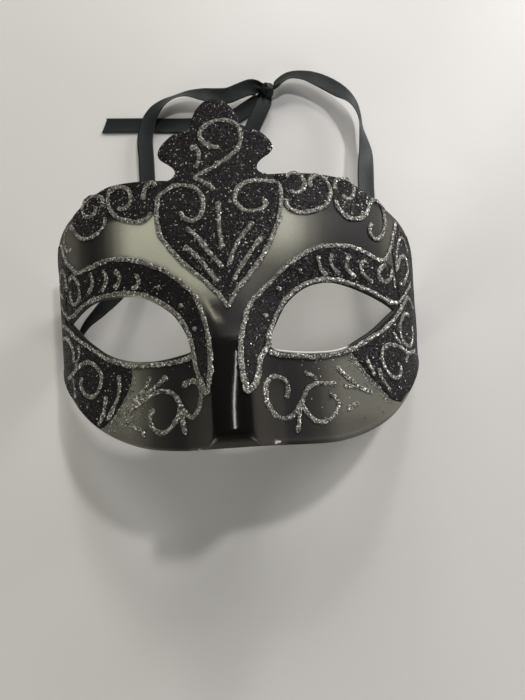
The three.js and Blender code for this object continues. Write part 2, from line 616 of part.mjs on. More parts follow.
// A flat ribbon along a smooth path. Each place is x, y, z and the roll about the path in
// degrees: 0 lies flat, 90 stands on edge.
function ribbon(places) {
  const points = places.map(([x, y, z]) => new THREE.Vector3(x, y, z));
  const curve = new THREE.CatmullRomCurve3(points, false, "centripetal");
  const rolls = places.map((place) => place[3]);
  const count = Math.round(curve.getLength() / RIBBON_STEP);
  const rings = [];
  for (let i = 0; i <= count; i++) {
    const at = curve.getUtoTmapping(i / count) * (places.length - 1);
    const before = Math.min(Math.floor(at), places.length - 2);
    const roll = THREE.MathUtils.degToRad(
      THREE.MathUtils.lerp(rolls[before], rolls[before + 1], at - before));
    const middle = curve.getPointAt(i / count);
    const forward = curve.getTangentAt(i / count);
    const side = new THREE.Vector3(-forward.y, forward.x, 0).normalize().applyAxisAngle(forward, roll);
    const up = forward.clone().cross(side).normalize();
    const corner = (s, t) => middle.clone()
      .addScaledVector(side, (s * RIBBON_WIDTH) / 2)
      .addScaledVector(up, (t * RIBBON_THICKNESS) / 2).toArray();
    rings.push([corner(-1, -1), corner(1, -1), corner(1, 1), corner(-1, 1)]);
  }
  return bar(rings);
}

const GLUE_RADIUS = 6;
const GLUE_SIDES = 16;
const gluePlaces = { left: [-82, -6], right: [84, 2] };
for (const [name, [u, v]] of Object.entries(gluePlaces)) {
  const ring = Array.from({ length: GLUE_SIDES }, (_, i) => {
    const turn = (2 * Math.PI * i) / GLUE_SIDES;
    return [u + GLUE_RADIUS * Math.cos(turn), v + GLUE_RADIUS * Math.sin(turn)];
  });
  add(`ribbon_glue_${name}`, layer(ring, GLUE), glue);
}

add("ribbon_left", ribbon([
  [-69.6, -3.4, 26.6, -56], [-66.2, 3.2, 25.4, -45], [-60.6, 10.4, 22.6, -25], [-54, 19.5, 18, -10],
  [-47, 33.9, 12, 0], [-42.7, 49.1, 8, 0], [-41.2, 64.3, 6, 0], [-41.6, 80.7, 4.4, 0],
  [-41.9, 92.7, 3.6, 0], [-42.2, 104, 3.2, 0], [-40.2, 112.6, 3.6, -8], [-36.6, 118.6, 4.4, -20],
  [-31.9, 122.4, 5, -36], [-25.7, 125, 5.2, -46], [-18.9, 126.2, 5.2, -36], [-11.8, 125.2, 5.2, -14],
  [-5.2, 124, 5, 4], [1.4, 123.6, 5, 12], [7.3, 125.6, 5, 10], [12.6, 127.2, 5, 15],
  [17, 127.2, 4.8, 28],
]), satin);
add("ribbon_right", ribbon([
  [70.4, -1.2, 24.4, 56], [67.4, 10, 25.6, 48], [65.4, 23, 26, 38], [63.8, 37.4, 24.6, 28],
  [63.2, 50, 22.4, 18], [64, 62, 19.6, 12], [65.6, 74.3, 16.4, 16], [66.8, 83.2, 14, 32],
  [66.8, 93, 12, 56], [66.4, 100.1, 10.6, 68], [65.6, 106.4, 9.6, 58], [63.3, 113.1, 8.6, 36],
  [57.8, 120.2, 7.2, 6], [49.4, 127, 6.2, 6], [41.4, 131.2, 5.6, 22], [34, 132.3, 5, 32],
  [29.4, 130.2, 4.8, 38], [26.8, 127.6, 4.6, 40],
]), satin);
add("ribbon_tail_left", ribbon([
  [18.2, 122.4, 1.6, 0], [12, 118.8, 1.2, 0], [4.9, 114.7, 0.9, 0], [-6.3, 111.6, 0.6, 0],
  [-19.3, 111.4, 0.4, 0], [-40.1, 113.1, 0.4, 0], [-65, 115, 0.4, 0],
]), satin);
add("ribbon_tail_under", ribbon([
  [20.8, 120.6, 4.2, 0], [18.8, 116.4, 4.4, 0], [15.2, 109.6, 4.2, 0], [11, 101.2, 3.4, 0],
  [7.6, 92.4, 2, 0], [4.6, 82.4, 0.8, 0], [2.3, 71.4, 0.4, 0],
]), satin);

// The two ribbons are tied in one small hard knot.
function knot() {
  const centre = [21.9, 125.4, 4.2];
  const half = [4.2, 4.2, 3.6];
  const shape = new THREE.SphereGeometry(1, 14, 9);
  const places = shape.getAttribute("position");
  const points = [];
  const seen = new Map();
  const index = [];
  for (let i = 0; i < places.count; i++) {
    const place = [places.getX(i), places.getY(i), places.getZ(i)];
    const key = place.map((value) => Math.round(value * 1e4)).join();
    if (!seen.has(key)) {
      seen.set(key, points.length);
      points.push(place.map((value, axis) => centre[axis] + half[axis] * value));
    }
    index.push(seen.get(key));
  }
  const order = shape.getIndex().array;
  const triangles = [];
  for (let i = 0; i < order.length; i += 3) {
    const triangle = [index[order[i]], index[order[i + 1]], index[order[i + 2]]];
    if (new Set(triangle).size === 3) triangles.push(triangle);
  }
  return solid(points, triangles);
}
add("ribbon_knot", knot(), satin);

// The origin is under the middle of the mask, on the table, measured without the ribbons.
const rigid = new THREE.Box3();
for (const mesh of group.children) {
  if (!mesh.name.startsWith("ribbon_")) rigid.expandByObject(mesh);
}
const middle = rigid.getCenter(new THREE.Vector3());
group.position.set(-middle.x, -middle.y, -rigid.min.z);

export default group;
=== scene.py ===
# A Venetian masquerade half mask with its tie ribbons, lying face up on a pale table.
# The shape is worked out in millimetres, in the mask's own pattern: u runs across the face as arc
# length, v runs up the face, and w stands off the painted face. form() bends it into the mask.
import math

import bpy
import numpy as np
from mathutils import Matrix, Vector
from mathutils.geometry import delaunay_2d_cdt


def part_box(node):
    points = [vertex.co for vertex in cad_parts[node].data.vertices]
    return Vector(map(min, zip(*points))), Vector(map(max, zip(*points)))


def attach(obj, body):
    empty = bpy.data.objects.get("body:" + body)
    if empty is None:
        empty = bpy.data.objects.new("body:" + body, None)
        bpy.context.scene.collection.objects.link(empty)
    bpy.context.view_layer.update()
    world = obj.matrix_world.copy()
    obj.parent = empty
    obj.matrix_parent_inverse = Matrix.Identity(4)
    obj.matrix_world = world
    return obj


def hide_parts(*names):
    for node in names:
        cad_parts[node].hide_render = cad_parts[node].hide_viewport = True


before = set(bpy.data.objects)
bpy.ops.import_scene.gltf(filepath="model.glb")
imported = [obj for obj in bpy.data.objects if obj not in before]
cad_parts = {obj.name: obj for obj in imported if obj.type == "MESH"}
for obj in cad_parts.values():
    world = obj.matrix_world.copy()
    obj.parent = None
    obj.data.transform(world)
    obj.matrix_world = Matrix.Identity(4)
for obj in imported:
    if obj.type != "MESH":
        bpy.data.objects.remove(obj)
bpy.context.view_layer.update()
MM = 0.001
rng = np.random.default_rng(7)

# The arch of the face, the relief and the set of the plastic.
FRONT_RADIUS, FRONT_REACH, SIDE_RADIUS = 115.0, 58.0, 54.0
TEMPLE_HEADING = math.radians(78)
ARCH_HEIGHT = 60.0
NOSE_RISE, NOSE_FLAT, NOSE_FOOT, NOSE_START, NOSE_FULL = 18.5, 4.2, 18.0, 14.0, -42.0
SOCKET_U, SOCKET_V, SOCKET_HALF_U, SOCKET_HALF_V, SOCKET_DEPTH = 40.0, 2.0, 26.0, 14.0, 4.0
NOSE_EASE = 0.18
FOREHEAD_FALL, FOREHEAD_START, CREST_TOP = 5.0, 20.0, 75.0
FLARE = 0.0006
SKEW, SKEW_START, SKEW_END = 3.6, 12.0, 80.0
CREST_TIP_V = 88.6

# The frame's origin is under the middle of the shell, so the pattern is shifted to it.
SHELL_LOW, SHELL_HIGH = (np.array(c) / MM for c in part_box("mask_shell"))
SHIFT = np.array([(SHELL_LOW[0] + SHELL_HIGH[0]) / 2, SHELL_HIGH[1] - CREST_TIP_V, 0.0])

SHELL_THICK = 1.4
EDGE_ROUND = 0.7
LIP_RISE, LIP_PEAK, LIP_WIDTH = 0.35, 1.1, 0.9
COAT_RISE = 0.28
BEAD_HALF, BEAD_HEIGHT = 0.92, 0.44
RIBBON_WIDTH, RIBBON_THICK = 8.0, 0.3


def smooth(start, end, value):
    t = np.clip((value - start) / (end - start), 0, 1)
    return t * t * (3 - 2 * t)


def ramp(start, end, value, ease):
    """From 0 to 1 at a steady slope, with both corners eased."""
    t = np.clip((value - start) / (end - start), 0, 1)
    low = t**2 / (2 * ease * (1 - ease))
    high = 1 - (1 - t) ** 2 / (2 * ease * (1 - ease))
    return np.where(t < ease, low, np.where(t > 1 - ease, high, (t - ease / 2) / (1 - ease)))


def face(u, v):
    side, reach = np.sign(u), np.abs(u)
    bend = FRONT_REACH / FRONT_RADIUS
    side_end = FRONT_REACH + SIDE_RADIUS * (TEMPLE_HEADING - bend)
    heading = np.where(reach < FRONT_REACH, reach / FRONT_RADIUS, bend + (reach - FRONT_REACH) / SIDE_RADIUS)
    heading = np.minimum(heading, TEMPLE_HEADING)
    front = np.minimum(heading, bend)
    past = np.maximum(reach - side_end, 0)
    around = heading > bend
    x = FRONT_RADIUS * np.sin(front) + around * SIDE_RADIUS * (np.sin(heading) - np.sin(bend))
    x = x + past * np.cos(heading)
    drop = FRONT_RADIUS * (1 - np.cos(front)) + around * SIDE_RADIUS * (np.cos(bend) - np.cos(heading))
    drop = drop + past * np.sin(heading)
    nose = NOSE_RISE * smooth(NOSE_START, NOSE_FULL, v) * ramp(NOSE_FOOT, NOSE_FLAT, reach, NOSE_EASE)
    socket = np.exp(-(((reach - SOCKET_U) / SOCKET_HALF_U) ** 2) - ((v - SOCKET_V) / SOCKET_HALF_V) ** 2)
    raised = nose - SOCKET_DEPTH * socket
    fall = FOREHEAD_FALL * smooth(FOREHEAD_START, CREST_TOP, v) * np.cos(heading)
    return np.stack([
        side * (x + raised * np.sin(heading)) * (1 + FLARE * v),
        v - SKEW * side * smooth(SKEW_START, SKEW_END, reach),
        ARCH_HEIGHT - drop + raised * np.cos(heading) - fall,
    ], axis=-1)


def form(u, v, w):
    """The places of the mask, in metres in the row frame."""
    u, v, w = (np.asarray(a, dtype=float) for a in np.broadcast_arrays(u, v, w))
    near = 0.05
    along = face(u + near, v) - face(u - near, v)
    up = face(u, v + near) - face(u, v - near)
    normal = np.cross(along, up)
    normal /= np.linalg.norm(normal, axis=-1, keepdims=True)
    return (face(u, v) + normal * w[..., None] + SHIFT) * MM


def row(place):
    """A place given in the pattern's millimetre frame, in metres in the row frame."""
    return (np.asarray(place, dtype=float) + SHIFT) * MM


# ---- lines ----

def windows(points):
    """Each run of four points."""
    return zip(points, points[1:], points[2:], points[3:])


def span(p1, p2, v0, v1, count):
    """Points of a cubic from p1 to p2, with the slopes v0 and v1 at its ends."""
    t = (np.arange(count) / count)[:, None]
    return (2 * p1 - 2 * p2 + v0 + v1) * t**3 + (-3 * p1 + 3 * p2 - 2 * v0 - v1) * t**2 + v0 * t + p1


def catmull(points):
    """A smooth line through the points, uniform, with its ends held."""
    p = np.asarray(points, dtype=float)
    out = [span(p1, p2, (p2 - p0) / 2, (p3 - p1) / 2, 24) for p0, p1, p2, p3 in windows([p[0], *p, p[-1]])]
    return np.concatenate([*out, p[-1:]])


def even(line, step):
    """The same line with points about every step along it."""
    line = np.asarray(line, dtype=float)
    lengths = np.r_[0, np.cumsum(np.linalg.norm(np.diff(line[:, :3], axis=0), axis=1))]
    count = max(2, int(round(lengths[-1] / step)))
    at = np.linspace(0, lengths[-1], count + 1)
    return np.stack([np.interp(at, lengths, line[:, k]) for k in range(line.shape[1])], axis=1)


def through(points, step):
    return even(catmull(points), step)


def mirrored(points):
    return [(-u, v) for u, v in points]


# ---- objects ----

def piece(name, verts, faces, material, slot=None, uv=None, smooth_shade=True):
    mesh = bpy.data.meshes.new(name)
    mesh.from_pydata([tuple(p) for p in verts], [], [tuple(f) for f in faces])
    mesh.update()
    if smooth_shade:
        mesh.polygons.foreach_set("use_smooth", [True] * len(mesh.polygons))
    if uv is not None:
        layer = mesh.uv_layers.new(name="UVMap")
        corners = np.empty(len(mesh.loops), dtype=int)
        mesh.loops.foreach_get("vertex_index", corners)
        layer.data.foreach_set("uv", np.asarray(uv)[corners].astype("f").ravel())
    mesh.materials.append(material)
    obj = bpy.data.objects.new(name, mesh)
    bpy.context.scene.collection.objects.link(obj)
    if slot:
        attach(obj, "root")
    return obj


def set_attribute(obj, name, values):
    attribute = obj.data.attributes.new(name, "FLOAT", "POINT")
    attribute.data.foreach_set("value", np.asarray(values, dtype="f"))


# ---- materials ----

class Nodes:
    """A short way to build a material's nodes."""

    def __init__(self, name):
        self.material = bpy.data.materials.new(name)
        self.material.use_nodes = True
        self.tree = self.material.node_tree
        self.shader = self.tree.nodes["Principled BSDF"]

    def set(self, **values):
        for key, value in values.items():
            self.shader.inputs[key.replace("_", " ")].default_value = value
        return self

    def add(self, kind, inputs=None, **settings):
        node = self.tree.nodes.new(kind)
        for key, value in settings.items():
            setattr(node, key, value)
        for key, value in (inputs or {}).items():
            self.feed(node.inputs[key], value)
        return node

    def feed(self, socket, value):
        if isinstance(value, bpy.types.NodeSocket):
            self.tree.links.new(value, socket)
        else:
            socket.default_value = value

    def link(self, source, name):
        self.tree.links.new(source, self.shader.inputs[name])

    def math(self, operation, a, b, clamp=False):
        node = self.add("ShaderNodeMath", {0: a, 1: b}, operation=operation, use_clamp=clamp)
        return node.outputs[0]

    def vector(self, operation, a, b):
        return self.add("ShaderNodeVectorMath", {0: a, 1: b}, operation=operation).outputs

    def ramp(self, factor, stops, interpolation="LINEAR"):
        node = self.add("ShaderNodeValToRGB", {"Fac": factor})
        ramp = node.color_ramp
        ramp.interpolation = interpolation
        while len(ramp.elements) < len(stops):
            ramp.elements.new(0.5)
        for element, (at, colour) in zip(ramp.elements, stops):
            element.position = at
            element.color = (colour, colour, colour, 1) if isinstance(colour, float) else (*colour, 1)
        return node.outputs["Color"]

    def mix(self, factor, a, b):
        node = self.add("ShaderNodeMix", data_type="RGBA")
        for key, value in (("Factor", factor), ("A", a), ("B", b)):
            self.feed(node.inputs[key], value)
        return node.outputs["Result"]

    def noise(self, scale, detail, roughness, vector):
        inputs = {"Scale": scale, "Detail": detail, "Roughness": roughness, "Vector": vector}
        return self.add("ShaderNodeTexNoise", inputs).outputs["Fac"]

    def cells(self, scale, vector):
        return self.add("ShaderNodeTexVoronoi", {"Scale": scale, "Vector": vector}, feature="F1").outputs

    def place(self):
        return self.add("ShaderNodeTexCoord").outputs["Object"]

    def bump(self, height, distance, strength=1.0, under=None):
        node = self.add("ShaderNodeBump", {"Height": height, "Distance": distance, "Strength": strength})
        if under is not None:
            self.feed(node.inputs["Normal"], under)
        return node.outputs["Normal"]


def glitter(name, flake, base_stops, rough_stops, metal_stops, tilt, coarse, specular):
    """Flakes of glitter, each with its own brightness, gloss and lean."""
    n = Nodes(name)
    place = n.place()
    cells = n.cells(1 / (flake * MM), place)
    random = n.add("ShaderNodeSeparateColor", {"Color": cells["Color"]}).outputs
    n.link(n.ramp(random["Red"], base_stops, "CONSTANT"), "Base Color")
    n.link(n.ramp(random["Green"], rough_stops), "Roughness")
    n.link(n.ramp(random["Red"], metal_stops, "CONSTANT"), "Metallic")
    n.set(Specular_IOR_Level=specular)
    # Each flake is one height, with a lean: the cell's own height plus a slope from its middle.
    lean = n.vector("SUBTRACT", place, cells["Position"])[0]
    centred = n.vector("SUBTRACT", cells["Color"], (0.5, 0.5, 0.5))[0]
    slope = n.vector("DOT_PRODUCT", lean, centred)["Value"]
    height = n.math("ADD", n.math("MULTIPLY", slope, tilt), n.math("MULTIPLY", random["Blue"], coarse * MM))
    n.link(n.bump(height, 1.0), "Normal")
    return n.material


def shell_paint_and_highlights_material():
    n = Nodes("airbrushed_plastic_with_painted_highlights")
    place = n.place()

    def painted(name):
        return n.add("ShaderNodeAttribute", attribute_name=name).outputs["Fac"]

    # shade carries the airbrushed paint with painted highlights and a painted reflection; bare carries the
    # chips and a painted lip highlight.
    shade, bare, inside, gloss = (painted(name) for name in ("shade", "bare", "inside", "gloss"))
    speckle = n.noise(2600, 2.0, 0.7, place)
    cloud = n.noise(70, 3.0, 0.6, place)
    shift = n.math("ADD", n.math("MULTIPLY", n.math("SUBTRACT", speckle, 0.5), 0.22),
                   n.math("MULTIPLY", n.math("SUBTRACT", cloud, 0.5), 0.08))
    tone = n.math("ADD", shade, n.math("MULTIPLY", shift, n.math("ADD", shade, 0.12)), clamp=True)
    colour = n.ramp(tone, [
        (0.0, (0.006, 0.005, 0.0048)), (0.25, (0.028, 0.025, 0.020)), (0.5, (0.095, 0.092, 0.074)),
        (0.75, (0.27, 0.27, 0.22)), (1.0, (0.62, 0.62, 0.50)),
    ])
    # The pale mix is bare plastic at the chips and a painted highlight along the right eye hole's lower lip.
    colour = n.mix(bare, colour, (0.5, 0.48, 0.45, 1))
    back = n.ramp(n.noise(160, 4.0, 0.6, place),
                  [(0.3, (0.004, 0.0035, 0.0035)), (0.8, (0.009, 0.008, 0.007))])
    colour = n.mix(inside, colour, back)
    n.link(colour, "Base Color")
    # The tip of the nose is glossy; elsewhere the black is duller than the pewter.
    dull = n.math("SUBTRACT", 1.0, gloss)
    rough = n.math("ADD", n.math("MULTIPLY", n.noise(900, 2.0, 0.6, place), 0.12), 0.54)
    rough = n.math("SUBTRACT", rough, n.math("MULTIPLY", shade, 0.18))
    rough = n.math("ADD", n.math("MULTIPLY", rough, dull), 0.05)
    n.link(n.math("ADD", rough, n.math("MULTIPLY", inside, 0.30), clamp=True), "Roughness")
    metal = n.math("MULTIPLY", n.math("MULTIPLY", tone, 0.4), n.math("SUBTRACT", 1.0, inside), clamp=True)
    n.link(metal, "Metallic")
    orange_peel = n.bump(n.math("MULTIPLY", n.noise(900, 2.0, 0.5, place), dull), 0.000012)
    waves = n.math("MULTIPLY", n.noise(160, 2.0, 0.5, place), dull)
    n.link(n.bump(waves, 0.00008, 1.0, orange_peel), "Normal")
    n.set(Specular_IOR_Level=0.28)
    return n.material


def satin_material():
    n = Nodes("black_satin")
    uv = n.add("ShaderNodeUVMap").outputs["UV"]
    # The satin's floats run along the ribbon: fine lines across it, broken along their length.
    stretched = n.add("ShaderNodeMapping", {"Vector": uv, "Scale": (0.35, 6.0, 1.0)}).outputs[0]
    threads = n.noise(1.0, 3.0, 0.6, stretched)
    weft = n.add("ShaderNodeTexWave", {"Vector": uv, "Scale": 0.9, "Distortion": 0.6, "Detail": 1.0},
                 bands_direction="X").outputs["Fac"]
    colour = n.ramp(threads, [(0.3, (0.008, 0.010, 0.0098)), (0.7, (0.017, 0.021, 0.0205))])
    n.link(colour, "Base Color")
    n.link(n.math("ADD", n.math("MULTIPLY", threads, 0.20), 0.42), "Roughness")
    weave = n.bump(weft, 0.00001, 0.6, n.bump(threads, 0.00003))
    n.link(n.bump(n.noise(110, 2.0, 0.5, n.place()), 0.0004, 0.5, weave), "Normal")
    n.set(Specular_IOR_Level=0.14, Anisotropic=0.4, Sheen_Weight=0.03, Sheen_Roughness=0.4)
    return n.material


def glue_material():
    n = Nodes("hot_glue")
    cloud = n.noise(600, 3.0, 0.5, n.place())
    n.link(n.ramp(cloud, [(0.3, (0.5, 0.46, 0.36)), (0.7, (0.68, 0.65, 0.55))]), "Base Color")
    n.link(n.math("ADD", n.math("MULTIPLY", cloud, 0.2), 0.2), "Roughness")
    n.link(n.bump(cloud, 0.0001), "Normal")
    n.set(Subsurface_Weight=0.3, Subsurface_Radius=(0.002, 0.0015, 0.001))
    return n.material


def table_material():
    n = Nodes("pale_table")
    place = n.place()
    cloud = n.noise(3.0, 3.0, 0.5, place)
    n.link(n.ramp(cloud, [(0.3, (0.59, 0.578, 0.562)), (0.7, (0.61, 0.598, 0.582))]), "Base Color")
    n.link(n.math("ADD", n.math("MULTIPLY", n.noise(40, 2.0, 0.5, place), 0.08), 0.38), "Roughness")
    n.set(Specular_IOR_Level=0.4)
    return n.material


SHELL_PAINT_AND_HIGHLIGHTS = shell_paint_and_highlights_material()
DARK_FLAKES = [(0.0, (0.008, 0.0065, 0.007)), (0.5, (0.012, 0.0098, 0.0102)), (0.8, (0.020, 0.0165, 0.0172))]
FLAKE_ROUGHNESS = [(0.0, 0.35), (1.0, 0.7)]
# The crest and the brow panels carry more bright flakes than the eye bands and temples.
BLACK_GLITTER = glitter(
    "black_glitter", 0.44,
    DARK_FLAKES + [(0.915, (0.09, 0.085, 0.08)), (0.955, (0.4, 0.39, 0.37)), (0.982, (0.9, 0.89, 0.85))],
    FLAKE_ROUGHNESS, [(0.0, 0.0), (0.915, 0.7)], 1.4, 0.08, 0.12)
SPARSE_GLITTER = glitter(
    "sparse_black_glitter", 0.42,
    DARK_FLAKES + [(0.96, (0.07, 0.065, 0.06)), (0.982, (0.3, 0.29, 0.28)), (0.993, (0.85, 0.84, 0.8))],
    FLAKE_ROUGHNESS, [(0.0, 0.0), (0.96, 0.7)], 1.2, 0.06, 0.12)
SILVER_GLITTER = glitter(
    "silver_glitter", 0.50,
    [(0.0, (0.045, 0.043, 0.036)), (0.26, (0.11, 0.107, 0.092)), (0.5, (0.22, 0.215, 0.19)),
     (0.74, (0.40, 0.395, 0.355)), (0.885, (0.95, 0.94, 0.88))],
    [(0.0, 0.30), (1.0, 0.6)], [(0.0, 0.25), (0.74, 0.6)], 1.4, 0.12, 0.3)
SATIN = satin_material()
GLUE = glue_material()
TABLE = table_material()

# ---- camera ----

CAMERA_PLACE = (14.0, -50.0, 258.0)
CAMERA_YAW, CAMERA_PAN, CAMERA_PITCH = math.radians(-3.8), math.radians(1.4), math.radians(9)
SENSOR = 36.0
LENS = SENSOR * 540 / 700

turn = Matrix.Rotation(CAMERA_YAW, 3, "Z") @ Matrix.Rotation(CAMERA_PAN, 3, "Y")
right = turn @ Vector((1, 0, 0))
up = turn @ Vector((0, math.cos(CAMERA_PITCH), math.sin(CAMERA_PITCH)))
forward = turn @ Vector((0, math.sin(CAMERA_PITCH), -math.cos(CAMERA_PITCH)))
camera = bpy.data.objects.new("camera", bpy.data.cameras.new("camera"))
camera.data.lens = LENS
camera.data.sensor_width = SENSOR
camera.data.sensor_fit = "AUTO"
camera.data.clip_start = 0.01
axes = Matrix((right, up, -forward)).transposed()
camera.matrix_world = Matrix.Translation(Vector(row(CAMERA_PLACE))) @ axes.to_4x4()
bpy.context.scene.collection.objects.link(camera)
bpy.context.scene.camera = camera

# ---- ribbons ----

# Each ribbon's route: x, y, z of its middle and its roll in degrees, where 0 lies flat.
RIBBON_ROUTES = {
    "ribbon_left": [
        (-69.6, -3.4, 26.6, -56), (-66.2, 3.2, 25.4, -45), (-60.6, 10.4, 22.6, -25), (-54, 19.5, 18, -10),
        (-47, 33.9, 12, 0), (-42.7, 49.1, 8, 0), (-41.2, 64.3, 6, 0), (-41.6, 80.7, 4.4, 0),
        (-41.9, 92.7, 3.6, 0), (-42.2, 104, 3.2, 0), (-40.2, 112.6, 3.6, -8), (-36.6, 118.6, 4.4, -20),
        (-31.9, 122.4, 5, -36), (-25.7, 125, 5.2, -46), (-18.9, 126.2, 5.2, -36), (-11.8, 125.2, 5.2, -14),
        (-5.2, 124, 5, 4), (1.4, 123.6, 5, 12), (7.3, 125.6, 5, 10), (12.6, 127.2, 5, 15),
        (17, 127.2, 4.8, 28)],
    "ribbon_right": [
        (70.4, -1.2, 24.4, 56), (67.4, 10, 25.6, 48), (65.4, 23, 26, 38), (63.8, 37.4, 24.6, 28),
        (63.2, 50, 22.4, 18), (64, 62, 19.6, 12), (65.6, 74.3, 16.4, 16), (66.8, 83.2, 14, 32),
        (66.8, 93, 12, 56), (66.4, 100.1, 10.6, 68), (65.6, 106.4, 9.6, 58), (63.3, 113.1, 8.6, 36),
        (57.8, 120.2, 7.2, 6), (49.4, 127, 6.2, 6), (41.4, 131.2, 5.6, 22), (34, 132.3, 5, 32),
        (29.4, 130.2, 4.8, 38), (26.8, 127.6, 4.6, 40)],
    "ribbon_tail_left": [
        (18.2, 122.4, 1.6, 0), (12, 118.8, 1.2, 0), (4.9, 114.7, 0.9, 0), (-6.3, 111.6, 0.6, 0),
        (-19.3, 111.4, 0.4, 0), (-40.1, 113.1, 0.4, 0), (-65, 115, 0.4, 0)],
    "ribbon_tail_under": [
        (20.8, 120.6, 4.2, 0), (18.8, 116.4, 4.4, 0), (15.2, 109.6, 4.2, 0), (11, 101.2, 3.4, 0),
        (7.6, 92.4, 2, 0), (4.6, 82.4, 0.8, 0), (2.3, 71.4, 0.4, 0)],
}
# How wide each ribbon is where it starts and where it ends, as a share of its full width.
RIBBON_PINCH = {
    "ribbon_left": (1.0, 0.55), "ribbon_right": (1.0, 0.5),
    "ribbon_tail_left": (0.6, 1.0), "ribbon_tail_under": (0.6, 1.0),
}
PINCH_LENGTH = 6.0
KNOT_CENTRE = (21.9, 125.4, 4.2)
KNOT_HALF = (3.5, 4.1, 3.3)
# How many steps a ribbon runs on into the knot.
TUCK = 3
TAIL_SLANT, FOLD_HEIGHT = 2.4, 2.2
RIBBON_ACROSS = 10
RIBBON_FAR_END = {"ribbon_left": "knot", "ribbon_right": "knot",
                  "ribbon_tail_left": "bare", "ribbon_tail_under": "bare"}


def centripetal(points):
    """A smooth line through the points, with the knots spaced by the root of their distance."""
    p = np.asarray(points, dtype=float)
    out = []
    for p0, p1, p2, p3 in windows([2 * p[0] - p[1], *p, 2 * p[-1] - p[-2]]):
        steps = ((p0, p1), (p1, p2), (p2, p3))
        d0, d1, d2 = (max(np.linalg.norm((b - a)[:3]) ** 0.5, 1e-6) for a, b in steps)
        v0 = ((p1 - p0) / d0 - (p2 - p0) / (d0 + d1) + (p2 - p1) / d1) * d1
        v1 = ((p2 - p1) / d1 - (p3 - p1) / (d1 + d2) + (p3 - p2) / d2) * d1
        out.append(span(p1, p2, v0, v1, 16))
    return np.concatenate([*out, p[-1:]])


def ribbon(name, route):
    line = even(centripetal(route), 1.0)
    # The end at the knot runs on into it.
    to_knot = RIBBON_FAR_END[name] == "knot"
    tip = line[-1 if to_knot else 0]
    run_on = [tip + (np.array([*KNOT_CENTRE, tip[3]]) - tip) * (i + 1) / 4 for i in range(TUCK)]
    line = np.vstack([line, run_on] if to_knot else [run_on[::-1], line])
    middle, roll = line[:, :3], np.radians(line[:, 3])
    tangent = np.gradient(middle, axis=0)
    tangent /= np.linalg.norm(tangent, axis=1, keepdims=True)
    flat = np.stack([-tangent[:, 1], tangent[:, 0], 0 * tangent[:, 0]], axis=1)
    flat /= np.linalg.norm(flat, axis=1, keepdims=True)
    stood = np.cross(tangent, flat)
    side = flat * np.cos(roll)[:, None] + stood * np.sin(roll)[:, None]
    above = np.cross(tangent, side)
    count = len(line)
    along = np.arange(count, dtype=float)
    start, end = RIBBON_PINCH[name]
    pinch = np.minimum(start + (1 - start) * smooth(0, PINCH_LENGTH, along),
                       end + (1 - end) * smooth(0, PINCH_LENGTH, along[::-1]))
    ripple = 0.25 * np.sin(along / 7.3 + len(name)) + 0.12 * np.sin(along / 3.1)
    verts, uv = [], []
    slant = TAIL_SLANT if name == "ribbon_tail_left" else 0.0
    for i in range(count):
        for layer in (0.5, -0.5):
            for k in range(RIBBON_ACROSS + 1):
                across = 2 * k / RIBBON_ACROSS - 1
                half = RIBBON_WIDTH / 2 * pinch[i]
                fold = (1 - pinch[i]) * FOLD_HEIGHT * math.cos(across * 5.2 + 0.6)
                cup = (0.35 + 0.2 * ripple[i]) * (across**2 - 0.4) + 0.15 * ripple[i] * across + fold
                point = middle[i] + side[i] * across * half
                if i >= count - 2:
                    point = point - tangent[i] * slant * (1 - across) / 2 * (1 if i == count - 1 else 0.6)
                point = point + above[i] * (cup + layer * RIBBON_THICK)
                verts.append(point)
                uv.append((i, k * RIBBON_WIDTH / RIBBON_ACROSS))
    verts = np.array(verts)
    verts[:, 2] = np.maximum(verts[:, 2], 0.05 + 0.001 * np.arange(len(verts)) / len(verts))
    width = RIBBON_ACROSS + 1
    ring = 2 * width
    faces = []
    for i in range(count - 1):
        a, b = i * ring, (i + 1) * ring
        for k in range(RIBBON_ACROSS):
            faces.append((a + k, a + k + 1, b + k + 1, b + k))
            faces.append((a + width + k + 1, a + width + k, b + width + k, b + width + k + 1))
        faces.append((a, b, b + width, a + width))
        faces.append((a + width - 1, a + ring - 1, b + ring - 1, b + width - 1))
    for a, order in ((0, 1), ((count - 1) * ring, -1)):
        for k in range(RIBBON_ACROSS):
            quad = (a + k + 1, a + k, a + width + k, a + width + k + 1)
            faces.append(quad[::order])
    obj = piece(name + "_satin", row(verts), faces, SATIN, "satin_ribbon", uv)
    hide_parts(name)


for ribbon_name, ribbon_route in RIBBON_ROUTES.items():
    ribbon(ribbon_name, ribbon_route)

# ---- outlines of the mask ----

EDGE_STEP = 0.8


def join(*lines):
    """The lines end to end, without doubled points."""
    points = np.concatenate([np.asarray(line, dtype=float) for line in lines])
    keep = np.r_[True, np.linalg.norm(np.diff(points, axis=0), axis=1) > 0.05]
    points = points[keep]
    if np.linalg.norm(points[0] - points[-1]) < 0.05:
        points = points[:-1]
    return points


